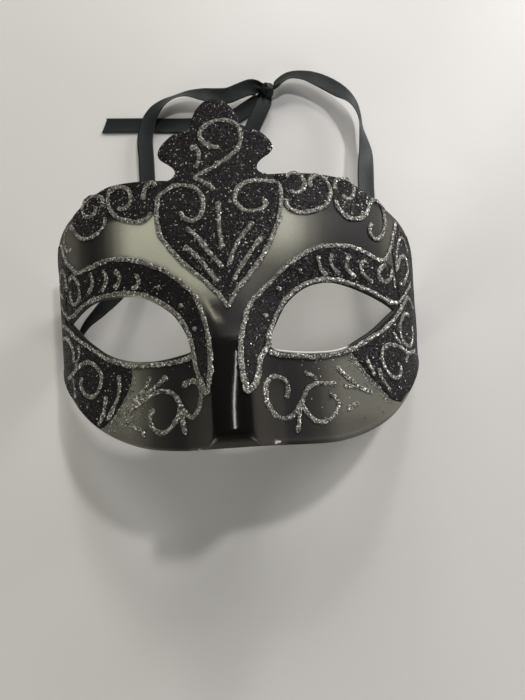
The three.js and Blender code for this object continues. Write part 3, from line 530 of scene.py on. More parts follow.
CREST = [
    [(-22.5, 54.2), (-20, 55), (-19, 57.2), (-19.8, 59.6), (-22.4, 62), (-25.2, 64.4), (-26, 66.6)],
    [(-26, 66.8), (-24.8, 69.6), (-22, 72.6), (-18.4, 74.8), (-12.8, 76)],
    [(-12.2, 76.6), (-11.4, 80), (-9.4, 84.4), (-6, 87.6), (-2.4, 88.6)],
    [(-1.8, 88.6), (1.8, 87.2), (4.8, 84.2), (6.8, 80.2), (7.6, 76.8)],
    [(8.2, 76.2), (12.6, 74.6), (16.4, 72.4), (19.2, 69.4), (20.4, 66.8)],
    [(20.4, 66.4), (19, 63.8), (15.8, 61.2), (13.8, 58.6), (13.6, 56), (15, 54.4), (17.6, 53.8)],
]
SIDE_EDGE = [
    (20, 54), (30, 55.2), (40, 55.9), (49, 55.6), (56, 53.4), (63, 50), (70, 46.8), (79, 43.6), (89, 39),
    (99, 31.4), (107, 22), (113, 15), (118, 11), (118, -6), (108, -13.6), (99, -19.5), (89, -26.3),
    (80, -32.8), (72, -38.6), (64, -43.6), (55, -47.9), (45, -51.2), (35, -53), (20, -53.6), (8, -53.2)]
EYE_UPPER_LEFT = [
    (-15.8, -17), (-17, -12), (-19.5, -7), (-23, -2.2), (-27, 1), (-31, 3.4), (-36, 5.6), (-41, 6.8),
    (-46, 7.1), (-52, 6.8), (-58, 6.2), (-63, 5), (-68, 3), (-73, 0.8), (-77.4, -0.8)]
EYE_LOWER_LEFT = [
    (-77.4, -0.8), (-73, -3.6), (-66.6, -8.4), (-60, -12.4), (-54, -15.8), (-48, -18), (-41, -19.4),
    (-34, -19.8), (-28, -19.4), (-22, -18.4), (-15.8, -17)]
EYE_UPPER_RIGHT = [
    (14.8, -17.5), (15.3, -13.5), (17.2, -9), (20, -3.6), (23, 0.6), (28, 5), (33, 7.8), (38, 9.3),
    (43, 9.8), (50, 8.9), (57, 7.2), (63, 5.4), (69, 3.4), (72.5, 2)]
EYE_LOWER_RIGHT = [
    (72.5, 2), (68, -1), (63, -4.8), (57, -9), (51, -12.6), (45.5, -15.8), (40, -17.6), (35, -18.4),
    (28, -18.9), (20, -18.5), (14.8, -17.5)]
HEART_RIGHT = [
    (21.2, 49.6), (22, 45), (22, 41), (21, 34.6), (19.2, 29.2), (15.8, 22.2), (12, 16), (6.4, 9), (2.4, 4),
    (0, -1.8)]
HEART_LEFT = [
    (-25.6, 46.6), (-26.8, 40.6), (-26.4, 33.4), (-24.4, 27.8), (-20.6, 22.2), (-15.4, 16.4), (-10, 11),
    (-5, 5.6), (-1.8, 1), (0, -1.8)]
BROW_RIGHT = [
    (22.8, 43.4), (24.2, 39), (27.8, 36.8), (32, 37.2), (37, 39.3), (40.6, 41.8), (43, 45.2), (45, 41.8),
    (47.8, 38.6), (51.6, 37.5), (55.4, 38.5), (58.8, 41.2), (60.6, 45), (62, 48)]
BROW_LEFT = [
    (-27.6, 41.6), (-29.4, 38.6), (-33.4, 36.8), (-38.4, 37.7), (-42.6, 39.4), (-46, 41.8), (-48.6, 44),
    (-50, 38.8), (-53.6, 35.6), (-58.4, 33.6), (-63.4, 34), (-67.2, 36.6), (-70.2, 40.4), (-72, 43.2)]
BAND_RIGHT = [
    (5, -35), (4.2, -32), (3.6, -26), (3.5, -19), (4.2, -12.6), (6.6, -3.4), (9.8, 1.9), (13.9, 6),
    (18.6, 11), (24.3, 16), (30.2, 20.1), (36, 22.8), (42, 24.4), (48, 24.9), (54.4, 24.3), (59.4, 22.9),
    (64, 21.6), (67.4, 22.2), (70, 25.6), (72, 29), (74, 33.6), (76, 38.4), (77.6, 42)]
BAND_LEFT = [
    (-7.5, -34.6), (-6.5, -30), (-6.2, -25), (-6.6, -18.2), (-7.8, -11.5), (-9.4, -5.7), (-11.8, 1.4),
    (-15, 6.8), (-19.2, 11), (-25, 15.6), (-31, 18.6), (-37.5, 21), (-43.3, 22), (-49.2, 22.3), (-55, 21.5),
    (-60, 20.6), (-65, 19.6), (-69.2, 20.2), (-72, 22.2), (-75.4, 24.8), (-78.6, 28.6), (-81.8, 33.4),
    (-84.4, 38)]
NOSE_POINT_RIGHT = [(8, -30.4), (9.2, -25.4), (10.2, -21.8)]
NOSE_POINT_LEFT = [(-10.2, -29.4), (-12.4, -24.6)]
RIM_UPPER_LEFT = [
    (-14.2, -15.6), (-15.6, -11.4), (-18, -6.4), (-21.6, -1.4), (-25.8, 2.2), (-30, 4.8), (-35, 7),
    (-40, 8.2), (-46, 8.7), (-52, 8.4), (-58, 7.8), (-64, 6.4), (-68, 4.8), (-72, 3), (-77, 1.8),
    (-80.6, 2.4)]
RIM_LOWER_LEFT = [
    (-14, -19), (-20, -20.4), (-28, -21.2), (-36, -21.4), (-42, -21.2), (-48, -19.9), (-54, -17.7),
    (-60, -14.5), (-66, -11.2), (-70, -9), (-75, -6.2), (-80, -3), (-86, -0.4), (-92, 1.4)]
RIM_UPPER_RIGHT = [
    (13.4, -16.4), (13.6, -13), (15.6, -8.4), (18.6, -3), (21.6, 1.4), (26.8, 6), (32, 8.8), (37.6, 10.6),
    (43.4, 11.2), (50, 10.4), (57.6, 8.6), (64, 6.8), (70, 5), (75.2, 4.8)]
RIM_LOWER_RIGHT = [
    (13, -19.6), (21.8, -20.8), (32, -21), (40, -19.6), (47, -17.6), (53, -14), (58, -11.2), (64, -8),
    (69, -4.6), (72.6, -1.6), (76.4, 1.8), (80.4, 5.8), (84, 8.6), (88, 7.8), (92, 5)]
TEMPLE_EDGE = [
    (88.4, 38.4), (98, 30.4), (105.6, 18), (106.4, 2), (105, -11.6), (98, -19), (89, -25.4), (80, -31.8)]


def soft(points):
    return through(points, EDGE_STEP)


crest_line = join(*[soft(part) for part in CREST])
side_line = soft(SIDE_EDGE)
mask_outline = join(crest_line, side_line, side_line[::-1] * (-1, 1))
right_eye = join(soft(EYE_UPPER_RIGHT), soft(EYE_LOWER_RIGHT))
left_eye = join(soft(EYE_UPPER_LEFT), soft(EYE_LOWER_LEFT))
SHELL_EDGES = [mask_outline, right_eye, left_eye]


def distance_to(points, outline):
    """How far each point is from a closed outline."""
    a, b = outline, np.roll(outline, -1, axis=0)
    run = b - a
    length = (run**2).sum(1)
    best = np.full(len(points), 1e9)
    for start in range(0, len(points), 2000):
        p = points[start: start + 2000, None, :]
        t = np.clip(((p - a) * run).sum(2) / length, 0, 1)
        gap = np.linalg.norm(p - (a + t[..., None] * run), axis=2).min(1)
        best[start: start + 2000] = gap
    return best


def is_inside(points, outline):
    x, y = points[:, 0, None], points[:, 1, None]
    ax, ay = outline[:, 0], outline[:, 1]
    bx, by = np.roll(ax, -1), np.roll(ay, -1)
    spans = (ay > y) != (by > y)
    with np.errstate(divide="ignore", invalid="ignore"):
        cross = (bx - ax) * (y - ay) / (by - ay) + ax
    return (np.sum(spans & (x < cross), axis=1) % 2).astype(bool)


def within(points, rings):
    """Which points lie inside the first outline and outside the others."""
    keep = is_inside(points, rings[0])
    for hole in rings[1:]:
        keep &= ~is_inside(points, hole)
    return keep


def edge_distance(points, rings=SHELL_EDGES):
    return np.min([distance_to(points, ring) for ring in rings], axis=0)


def shell_top(points):
    """The painted face's offset: rounded at the edges, with a slight lip along them."""
    gap = edge_distance(points)
    short = 1 - np.clip(gap / EDGE_ROUND, 0, 1)
    rounding = SHELL_THICK / 2 * (np.sqrt(1 - short**2) - 1)
    lip = LIP_RISE * np.exp(-(((gap - LIP_PEAK) / LIP_WIDTH) ** 2)) * np.clip(gap / EDGE_ROUND, 0, 1)
    return rounding + lip


def sheet(outline, holes, pitch, offsets):
    """Points and triangles that fill the flat outline, finer along its edges."""
    rings = [np.asarray(outline), *[np.asarray(h) for h in holes]]
    points = list(rings)
    edges, start = [], 0
    for ring in rings:
        count = len(ring)
        edges += [(start + i, start + (i + 1) % count) for i in range(count)]
        start += count
    for offset in offsets:
        for ring in rings:
            tangent = np.roll(ring, -1, axis=0) - np.roll(ring, 1, axis=0)
            tangent /= np.linalg.norm(tangent, axis=1, keepdims=True) + 1e-9
            normal = np.stack([-tangent[:, 1], tangent[:, 0]], axis=1)
            for side in (1, -1):
                moved = ring + normal * offset * side
                keep = within(moved, rings) & (edge_distance(moved, rings) > offset * 0.93)
                points.append(moved[keep])
    low, high = np.concatenate(rings).min(0), np.concatenate(rings).max(0)
    us = np.arange(low[0], high[0], pitch)
    vs = np.arange(low[1], high[1], pitch)
    grid = np.stack(np.meshgrid(us, vs), axis=-1)
    grid[1::2, :, 0] += pitch / 2
    grid = grid.reshape(-1, 2) + rng.uniform(-0.08, 0.08, (grid.size // 2, 2)) * pitch
    keep = within(grid, rings) & (edge_distance(grid, rings) > offsets[-1] + pitch * 0.5)
    points.append(grid[keep])
    flat = np.concatenate(points)
    done = delaunay_2d_cdt([Vector(p) for p in flat], edges, [], 0, 1e-4)
    verts = np.array([tuple(p) for p in done[0]])
    triangles = np.array([tuple(f) for f in done[2]])
    triangles = triangles[within(verts[triangles].mean(1), rings)]
    corner = verts[triangles]
    area = np.cross(corner[:, 1] - corner[:, 0], corner[:, 2] - corner[:, 0])
    triangles[area < 0] = triangles[area < 0][:, ::-1]
    used = np.unique(triangles)
    place = np.full(len(verts), -1)
    place[used] = np.arange(len(used))
    return verts[used], place[triangles]


def boundary(triangles):
    edges = np.concatenate([triangles[:, [0, 1]], triangles[:, [1, 2]], triangles[:, [2, 0]]])
    known = set(map(tuple, edges))
    return [(a, b) for a, b in known if (b, a) not in known]


def closed_sheet(flat, triangles, top, bottom):
    """A closed body from one flat sheet: its top, its bottom turned over, and its walls."""
    count = len(flat)
    high = form(flat[:, 0], flat[:, 1], top)
    low = form(flat[:, 0], flat[:, 1], bottom)
    faces = [tuple(t) for t in triangles] + [tuple(t[::-1] + count) for t in triangles]
    for a, b in boundary(triangles):
        faces.append((b, a, a + count, b + count))
    return np.concatenate([high, low]), faces


# ---- the shell ----

def paint_tone_with_painted_highlights(points):
    """How pale the shell's colour is, from 0, black, to 1, pewter: the airbrushed paint, with painted
    highlights and a painted reflection added.
    """
    u, v = points[:, 0], points[:, 1]
    reach = np.abs(u)
    # The pewter beside the heart is airbrushed paint; its paler left side is partly a painted highlight.
    across = np.where(u > 0, 0.72 * smooth(50, 22, reach), smooth(60, 36, reach))
    bridge = 1 - smooth(10, 4, reach) * smooth(4, -4, v)
    forehead = across * np.where(u > 0, smooth(-12, 30, v), smooth(-14, 14, v)) * bridge
    # The black of the brow panels runs on into the crest above the heart.
    forehead *= smooth(41, 38, v)
    # A pale streak left of the heart's tip is a painted highlight: the reflection of the ceiling tube.
    painted_tube_highlight_streak = 0.8 * np.exp(-((u + 3.4 + 0.6 * (v + 8)) ** 2) / 2.5) * smooth(-10, -6, v)
    temple = 0.42 * smooth(56, 72, reach) * smooth(8, 20, v)
    # The pale grey on the nose's side walls is a painted reflection of the lit table and wall.
    painted_flank_reflection = 0.22 * smooth(6, 8, reach) * smooth(21, 16, reach) * smooth(-24, -38, v)
    cheek = smooth(22, 44, reach) * smooth(-15, -22, v) * (1 - 0.25 * smooth(-38, -52, v))
    cheek *= np.where(u > 0, 0.56, 0.66)
    return np.clip(np.maximum(forehead, painted_tube_highlight_streak * (reach < 16)) + temple + cheek + painted_flank_reflection, 0, 1)


# Small chips in the paint by the nose: u, v and radius.
CHIPS = [(-4.9, -51.3, 0.45), (-4.0, -52.7, 0.5), (-2.0, -52.6, 0.4), (2.6, -52.6, 0.5), (13.6, -52.3, 0.8),
         (14.8, -52.2, 0.7), (7.4, -48.8, 0.25), (-13.0, -53.2, 0.3)]


def chips_and_painted_lip_highlight(points):
    """Where the pale colour goes: the chips, where the pale plastic shows, and a painted highlight along the
    lower lip of the right eye hole.
    """
    u, v = points[:, 0], points[:, 1]
    # The band along the right eye hole's lower lip is a painted highlight of the light on the rounded rim.
    lip = smooth(1.0, 0.3, distance_to(points, right_eye)) * (v < -13) * smooth(14, 17, u) * smooth(47, 45, u)
    for cu, cv, radius in CHIPS:
        lip = np.maximum(lip, smooth(radius, radius * 0.7, np.hypot(u - cu, v - cv)))
    return lip


SHELL_PITCH, SHELL_OFFSETS = 1.7, [0.12, 0.35, 0.7, 1.2, 1.9, 2.8]


def build_shell():
    flat, triangles = sheet(mask_outline, [right_eye, left_eye], SHELL_PITCH, SHELL_OFFSETS)
    gap = edge_distance(flat)
    short = 1 - np.clip(gap / EDGE_ROUND, 0, 1)
    half = SHELL_THICK / 2 * np.sqrt(np.maximum(1 - short**2, 0))
    top = shell_top(flat)
    bottom = -SHELL_THICK / 2 - half
    verts, faces = closed_sheet(flat, triangles, top, np.minimum(bottom, top - 0.02))
    verts[:, 2] = np.maximum(verts[:, 2], 0.0)
    obj = piece("painted_shell", verts, faces, SHELL_PAINT_AND_HIGHLIGHTS, "painted_plastic")
    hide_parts("mask_shell")
    count = len(flat)
    # The shade attribute holds the paint's paleness together with the painted highlights and reflection.
    set_attribute(obj, "shade", np.tile(paint_tone_with_painted_highlights(flat), 2))
    # The bare attribute holds the paint chips and the painted highlight on the right eye hole's lip.
    set_attribute(obj, "bare", np.tile(chips_and_painted_lip_highlight(flat), 2))
    set_attribute(obj, "gloss", np.tile(smooth(8, 5, np.abs(flat[:, 0])) * smooth(-8, -18, flat[:, 1]), 2))
    set_attribute(obj, "inside", np.r_[np.zeros(count), smooth(0.2, 0.8, gap)])


build_shell()

# ---- glitter coats ----

band_end_right = [(72.6, 20.6), (74.6, 12), (75.2, 4.8)]
band_end_left = [(-72.6, 19.6), (-78, 16), (-80, 9), (-80.8, 2.4)]
temple_edge = soft(TEMPLE_EDGE)
COATS = {
    "crest_heart_glitter": join(crest_line, soft(HEART_RIGHT), soft(HEART_LEFT)[::-1]),
    "brow_glitter_right": join(
        [(21.8, 49.4), (19.4, 53)],
        soft([(21, 53.6), (30, 54.6), (40, 55.3), (49, 55), (55.8, 52.8), (60.6, 50.6)]),
        soft(BROW_RIGHT)[::-1]),
    "brow_glitter_left": join(
        [(-26.1, 46.8), (-23.6, 53.6)],
        soft([(-25, 54.2), (-40, 55.3), (-49, 55), (-55.8, 52.8), (-63, 49.4), (-70, 46.2)]),
        soft(BROW_LEFT)[::-1]),
    "eye_band_glitter_right": join(
        soft(BAND_RIGHT[:18]), soft(band_end_right), soft(RIM_UPPER_RIGHT)[::-1],
        soft(NOSE_POINT_RIGHT)[::-1]),
    "eye_band_glitter_left": join(
        soft(BAND_LEFT[:18]), soft(band_end_left), soft(RIM_UPPER_LEFT)[::-1],
        soft(NOSE_POINT_LEFT)[::-1]),
    "temple_glitter_right": join(
        soft([(73.4, 21), (72.9, 25), (73, 29), (74.4, 33.6), (76.4, 38.4), (78.4, 42.6)]), temple_edge,
        soft([(72, -36.6), (66, -35.6), (62.7, -33.4), (58.5, -29.8), (53.5, -25.7), (48.6, -19.6)]),
        soft(RIM_LOWER_RIGHT[4:11]), [(76.8, 6), (75.6, 12.6)]),
    "temple_glitter_left": join(
        soft([(73, 21.8), (76, 24.2), (79.2, 28), (82.4, 32.8), (84.8, 37.4)]), temple_edge,
        soft([(72, -37.6), (64, -42.6), (58, -45.6), (52, -42), (47, -36.6), (43, -31), (41, -26),
              (41.2, -22)]),
        soft(mirrored(RIM_LOWER_LEFT)[4:12]), [(81.8, 3.4), (80.8, 9.6), (78.8, 17), (74.4, 20.2)]) * (-1, 1),
}


COAT_PITCH, COAT_BEVEL, COAT_GRAIN = 1.5, 0.4, 0.05


def build_coat(name, outline):
    flat, triangles = sheet(outline, [], COAT_PITCH, [COAT_BEVEL])
    under = shell_top(flat)
    own = np.clip(distance_to(flat, outline) / COAT_BEVEL, 0, 1)
    grain = rng.uniform(0, COAT_GRAIN, len(flat))
    verts, faces = closed_sheet(flat, triangles, under + 0.04 + COAT_RISE * own + grain * own, under + 0.01)
    coat = BLACK_GLITTER if name.startswith(("crest", "brow")) else SPARSE_GLITTER
    obj = piece(name + "_coat", verts, faces, coat, "black_glitter")
    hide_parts(name)


for coat_name, coat_outline in COATS.items():
    build_coat(coat_name, coat_outline)

# ---- silver beads ----

BEAD_ANGLES = np.radians([0, 28, 56, 90, 124, 152, 180])
BEAD_STEP, BEAD_WANDER, BEAD_ROUGH = 0.5, 0.10, 0.09
# The glue swells where the nozzle starts and where it lifts: by how much, and over what length.
START_SWELL, START_RUN, END_SWELL, END_RUN = 0.22, 1.8, 0.10, 1.5


def ring_faces(rings, count, start=0, flip=False):
    """Quads that join each ring of points to the next."""
    faces = []
    for i in range(rings - 1):
        for k in range(count):
            a, b = start + i * count + k, start + i * count + (k + 1) % count
            faces.append((a, a + count, b + count, b) if flip else (a, b, b + count, a + count))
    return faces


def walk(count, reach, spread):
    """A smooth random line that stays near zero."""
    raw = rng.normal(0, 1, count + 2 * reach)
    kernel = np.hanning(reach * 2 + 1)
    kernel /= np.sqrt((kernel**2).sum())
    return np.clip(np.convolve(raw, kernel, "valid")[:count], -2, 2) * spread


def bead_mesh(places, base, width=1.0):
    """A lumpy half-round bead along a line of the pattern."""
    line = through(places, BEAD_STEP)
    count = len(line)
    along = np.arange(count) * BEAD_STEP
    left = along[-1] - along
    near_end = np.minimum(along, left)
    cap = np.sqrt(1 - (1 - np.clip(near_end / (BEAD_HALF * width), 0, 1)) ** 2)
    swell = 1 + START_SWELL * np.exp(-((along / START_RUN) ** 2))
    swell += END_SWELL * np.exp(-((left / END_RUN) ** 2))
    half = BEAD_HALF * width * swell * (1 + walk(count, 4, 0.10)) * np.maximum(cap, 0.12)
    height = BEAD_HEIGHT * width**0.5 * (1 + walk(count, 5, 0.12)) * np.maximum(cap, 0.15)
    tangent = np.gradient(line, axis=0)
    tangent /= np.linalg.norm(tangent, axis=1, keepdims=True) + 1e-9
    side = np.stack([-tangent[:, 1], tangent[:, 0]], axis=1)
    line = line + side * walk(count, 6, BEAD_WANDER)[:, None]
    across = np.r_[np.cos(BEAD_ANGLES), -0.55, 0.55]
    rise = np.r_[np.sin(BEAD_ANGLES) ** 0.8, -0.12, -0.12]
    rough = rng.normal(0, BEAD_ROUGH, (count, len(across)))
    u = line[:, 0, None] + side[:, 0, None] * half[:, None] * across * (1 + rough)
    v = line[:, 1, None] + side[:, 1, None] * half[:, None] * across * (1 + rough)
    under = shell_top(np.stack([u, v], axis=-1).reshape(-1, 2)).reshape(u.shape)
    w = under + base + height[:, None] * rise * (1 + rough)
    verts = form(u, v, w).reshape(-1, 3)
    ring = len(across)
    faces = ring_faces(count, ring, flip=True)
    faces.append(tuple(range(ring)))
    faces.append(tuple(range((count - 1) * ring, count * ring))[::-1])
    return verts, faces


DAB_LEVELS = [(1.0, -0.1), (0.96, 0.3), (0.75, 0.72), (0.4, 0.95)]
DAB_DOME = 0.8


def dot_mesh(u, v, radius, base):
    """A small domed dab of glitter glue."""
    turns = np.linspace(0, 2 * math.pi, 14, endpoint=False)
    wobble = 1 + rng.normal(0, 0.06, len(turns))
    under = float(shell_top(np.array([[u, v]]))[0])
    verts = []
    for share, rise in DAB_LEVELS:
        us = u + np.cos(turns) * radius * share * wobble
        vs = v + np.sin(turns) * radius * share * wobble
        verts.append(form(us, vs, under + base + rise * radius * DAB_DOME))
    verts.append(form([u], [v], under + base + radius * DAB_DOME))
    count = len(turns)
    last, top = (len(DAB_LEVELS) - 1) * count, len(DAB_LEVELS) * count
    faces = ring_faces(len(DAB_LEVELS), count)
    faces += [(last + k, last + (k + 1) % count, top) for k in range(count)]
    faces.append(tuple(range(count))[::-1])
    return np.concatenate(verts), faces


def merged(parts):
    verts, faces, start = [], [], 0
    for part_verts, part_faces in parts:
        verts.append(part_verts)
        faces += [tuple(i + start for i in f) for f in part_faces]
        start += len(part_verts)
    return np.concatenate(verts), faces


ON_COAT, ON_PAINT = 0.26, 0.0


def bead(name, lines, base=ON_COAT, node=None, width=1.0, dots=()):
    parts = [bead_mesh(places, base, width) for places in lines]
    parts += [dot_mesh(u, v, radius, base) for u, v, radius in dots]
    verts, faces = merged(parts)
    obj = piece(name, verts, faces, SILVER_GLITTER, "silver_glitter")
    if node:
        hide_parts(node)


HEART_SPIRAL_RIGHT = [
    (14.4, 41.4), (16, 40.4), (14.6, 38), (11, 36.8), (7, 37.8), (4.6, 41), (4.2, 44.6), (5.8, 47.8),
    (9, 49.8), (13, 50.4), (17, 50.2)]
HEART_SPIRAL_LEFT = [
    (-17, 39.4), (-15.6, 36.2), (-12.6, 34.8), (-9.6, 36.2), (-8.2, 40), (-8.2, 44), (-9.8, 48),
    (-13, 50.3), (-17.8, 50.8), (-22, 49.6)]
BEADS = {
    "heart_piping": HEART_SPIRAL_RIGHT + HEART_RIGHT + HEART_LEFT[:-1][::-1] + HEART_SPIRAL_LEFT[::-1],
    "heart_ray_centre": [(-2.3, 42), (-2.1, 37), (-2.3, 31), (-1.8, 25), (-1.6, 22)],
    "heart_ray_upper_left": [(-15, 32), (-11.6, 28.4), (-8.2, 23.4), (-4.4, 17.8), (-1.6, 14.4)],
    "heart_ray_upper_right": [(10.8, 32.3), (7.7, 28.5), (4.6, 24.3), (2, 19.3), (0.6, 15)],
    "heart_ray_lower_left": [(-16.4, 24.4), (-13.6, 22), (-10, 17.8), (-6, 12.2), (-3.8, 8.6)],
    "heart_ray_lower_right": [(13.8, 26), (11, 22.7), (6.8, 16.8), (3.4, 11.6), (2, 8.4)],
    "crest_swirl": [
        (-0.8, 66.4), (-4.2, 67.3), (-7.2, 69.4), (-8.3, 72.4), (-7.2, 75.4), (-4.6, 77.6), (-1, 78.5),
        (3, 78.2), (6.2, 76), (7.7, 72.4), (7.4, 68.4), (5.6, 64.6), (2.4, 61.4), (-1.6, 58.9),
        (-5.6, 56.4), (-9.6, 54.8), (-10.6, 53.2), (-7.6, 51.2), (-4.4, 48.6), (-3.6, 46.8)],
    "crest_hook": [(-12.4, 67.2), (-10.2, 67.4), (-8.9, 65), (-9, 61.2), (-10.6, 57.8)],
    "brow_scallop_inner_right": [
        (24, 42.6), (24.6, 38.9), (27.8, 36.8), (32, 37.2), (37, 39.3), (40.6, 42), (42.4, 45.6),
        (42.6, 49), (41.4, 52.4), (38.6, 54.4), (35.8, 54), (34.2, 51.6), (34.4, 48.6)],
    "brow_spiral_inner_right": [
        (24.2, 52.2), (27, 54.2), (30, 53.6), (31.6, 50.6), (31, 47.2), (28.2, 45.4), (25.4, 46.2)],
    "brow_scallop_outer_right": [
        (44.4, 44.6), (45.4, 41.6), (48, 38.6), (51.6, 37.5), (55.4, 38.5), (58.6, 41), (60.4, 44.4),
        (62.4, 47.8), (65.4, 48.6), (68, 46.8), (69.3, 43), (69, 38), (66.8, 33.2), (63.5, 30.7),
        (60.6, 31.6), (60, 34.6), (61.4, 37.6)],
    "brow_spiral_outer_right": [
        (45.2, 49), (45.4, 53), (48, 55), (51.4, 54.6), (53.4, 52), (53, 48.4), (50.4, 46.2), (47.8, 47.4)],
    "brow_spiral_heart_left": [(-32, 46.4), (-32, 49.6), (-30.6, 52.8), (-28.3, 53.8), (-26.6, 51.6)],
    "brow_scallop_inner_left": [
        (-29, 40.6), (-30.6, 38), (-34.4, 36.8), (-38.4, 37.7), (-42.6, 39.4), (-46, 42), (-48.2, 45.4),
        (-49, 49.4), (-47.6, 53), (-43.8, 54), (-40, 52.8), (-38, 49.6), (-38.6, 45.8), (-41.4, 43.6),
        (-44.2, 44.6)],
    "brow_scallop_outer_left": [
        (-50.4, 41.6), (-50.8, 38.4), (-53.8, 35.5), (-58.4, 33.6), (-63.4, 34), (-67.2, 36.6),
        (-70.2, 40.4), (-72, 43)],
    "brow_spiral_outer_left": [
        (-52, 46), (-51.8, 50), (-54.4, 52), (-58, 52.2), (-61.6, 50.6), (-63.2, 47.4), (-61.8, 44.2),
        (-58.6, 43), (-55.6, 44.6), (-55.4, 47.6)],
    "eye_band_piping_right": BAND_RIGHT[::-1] + NOSE_POINT_RIGHT + RIM_UPPER_RIGHT,
    "eye_band_piping_left": BAND_LEFT[::-1] + NOSE_POINT_LEFT + RIM_UPPER_LEFT,
    "eye_rim_piping_right": RIM_LOWER_RIGHT,
    "eye_rim_piping_left": RIM_LOWER_LEFT,
    "band_tick_right_1": [(35.6, 19.6), (36, 17), (37.4, 14), (40, 12.6)],
    "band_tick_right_2": [(41.6, 21.2), (41, 18.2), (42.6, 15.4), (45.6, 13.2)],
    "band_tick_right_3": [(49.4, 22), (48.3, 18.8), (49, 15.4), (52.6, 12.9)],
    "band_tick_right_4": [(57.4, 20.6), (55.2, 18.6), (55.4, 15.4), (58, 13.2), (61, 12)],
    "band_tick_left_1": [(-37.6, 15.8), (-36.8, 13.2), (-38, 10.9), (-41, 9.9)],
    "band_tick_left_2": [(-47.4, 18), (-45.8, 15.6), (-46.4, 12.8), (-49.2, 10.7)],
    "band_tick_left_3": [(-53.6, 18.6), (-51.8, 16.2), (-53, 13), (-55.8, 10.2)],
    "band_tick_left_4": [(-60.4, 18.6), (-59.4, 16), (-60.2, 12.8), (-63, 10)],
    "temple_loop_right": [
        (68.4, 20.2), (65.2, 18.8), (63.4, 16), (65, 13.6), (68.4, 13.2), (71, 15.6), (72, 19.4)],
    "temple_loop_left": [
        (-76.2, 17.6), (-73.6, 19.2), (-70.6, 18.2), (-68.6, 15), (-68.2, 11.4), (-70, 8.2), (-73, 7),
        (-75.2, 9.4), (-75.6, 13.4)],
    "temple_ring_right": [
        (74.8, 18.6), (77, 22.6), (79.2, 26), (82.2, 27.4), (85.6, 26), (86.8, 22), (84, 17.6),
        (80.4, 14.6), (77, 14)],
    "temple_ring_left": [
        (-79, 14), (-79.4, 19), (-82, 23.4), (-86, 24.6), (-89.6, 22), (-90.4, 17.8), (-87.6, 14),
        (-83.4, 12.8)],
    "temple_lower_ring_right": [
        (84.6, 0.4), (82, 1.4), (79, 0.2), (76.4, -3.4), (75.6, -7.6), (77.2, -11), (81, -12.8),
        (85.6, -11.4), (88.4, -7.6), (88, -3)],
    "temple_lower_ring_left": [
        (-90, -5), (-84.6, -5.8), (-79.6, -7.6), (-76.4, -11), (-74.8, -15), (-74.6, -18)],
    "temple_scroll_right": [
        (71.6, -20.6), (73.6, -22.6), (72.6, -25.4), (69.4, -27), (65.6, -26), (62.8, -22.6), (62, -18.8),
        (63.4, -15.4), (67, -13.4), (72, -13.4), (76, -14.4), (80.4, -15.8), (86, -14.8), (91, -13.4)],
    "temple_scroll_left": [
        (-67.4, -25), (-69.6, -27), (-68.6, -30), (-65.4, -32.4), (-61, -32.6), (-57.6, -30), (-56.2, -26),
        (-57.6, -22.2), (-61, -19.4), (-66, -18.8), (-71.6, -20.4), (-77, -22.6), (-83, -23.6)],
    "temple_stroke_right_1": [(54, -20.6), (55.6, -23.6), (57.4, -27)],
    "temple_stroke_right_2": [(59.8, -23.4), (61.4, -28), (65.4, -32.6)],
    "temple_stroke_left_1": [(-47.2, -24.6), (-47, -28.4), (-47.8, -32.6), (-50.2, -37), (-54.2, -42.4)],
    "temple_stroke_left_2": [(-54.2, -32.6), (-55, -37), (-56.8, -41.4), (-59.2, -44.4)],
}
for bead_name, bead_places in BEADS.items():
    bead(bead_name + "_bead", [bead_places], node=bead_name)

CHEEK_FIGURES = {
    "cheek_scroll_right": [
        [(19.2, -37), (20, -34), (19.8, -30.8), (17.6, -28.9), (15, -28.7), (12, -30.9), (10.9, -35),
         (11.6, -39), (13.6, -42.2), (17.4, -43.9), (21.2, -43), (24.2, -39.6), (26, -36), (28.2, -32.8),
         (31, -31.2), (35, -30.8), (40, -31.2)],
        [(25, -38.4), (27.2, -42), (30, -44.8), (33, -45.4), (36.4, -44), (39, -41.4), (40.2, -38),
         (38, -35)],
        [(24.4, -39.4), (23.8, -44), (22.9, -49.4)],
    ],
    "cheek_scroll_left": [
        [(-19.4, -30.6), (-18.6, -28.8), (-16, -27.9), (-13, -29.2), (-11, -31.8), (-10.3, -35),
         (-11.6, -38.6), (-14.4, -40.8), (-17, -41.3), (-19.4, -39.6), (-21, -36.4), (-22.6, -33.6),
         (-25, -31.9), (-28.4, -31.4), (-33, -32.8), (-38, -35.8), (-43.4, -39.4)],
        [(-20.8, -37), (-22.4, -41.4), (-25.4, -45), (-29, -46.8), (-32.6, -45.5), (-34.2, -42),
         (-33.4, -39.2), (-31.4, -38.6)],
        [(-20.6, -38), (-20.5, -43), (-19.4, -47.6)],
    ],
    "cheek_fan_right": [[(40.2, -24), (42.9, -26.8), (46.6, -29.4), (51, -32), (56, -33.4)]],
    "cheek_fan_left": [[(-26, -25.6), (-29, -28.4), (-33, -31), (-37, -33.4), (-42, -37)]],
}
for cheek_name, figure in CHEEK_FIGURES.items():
    bead(cheek_name + "_bead", figure, ON_PAINT, cheek_name)

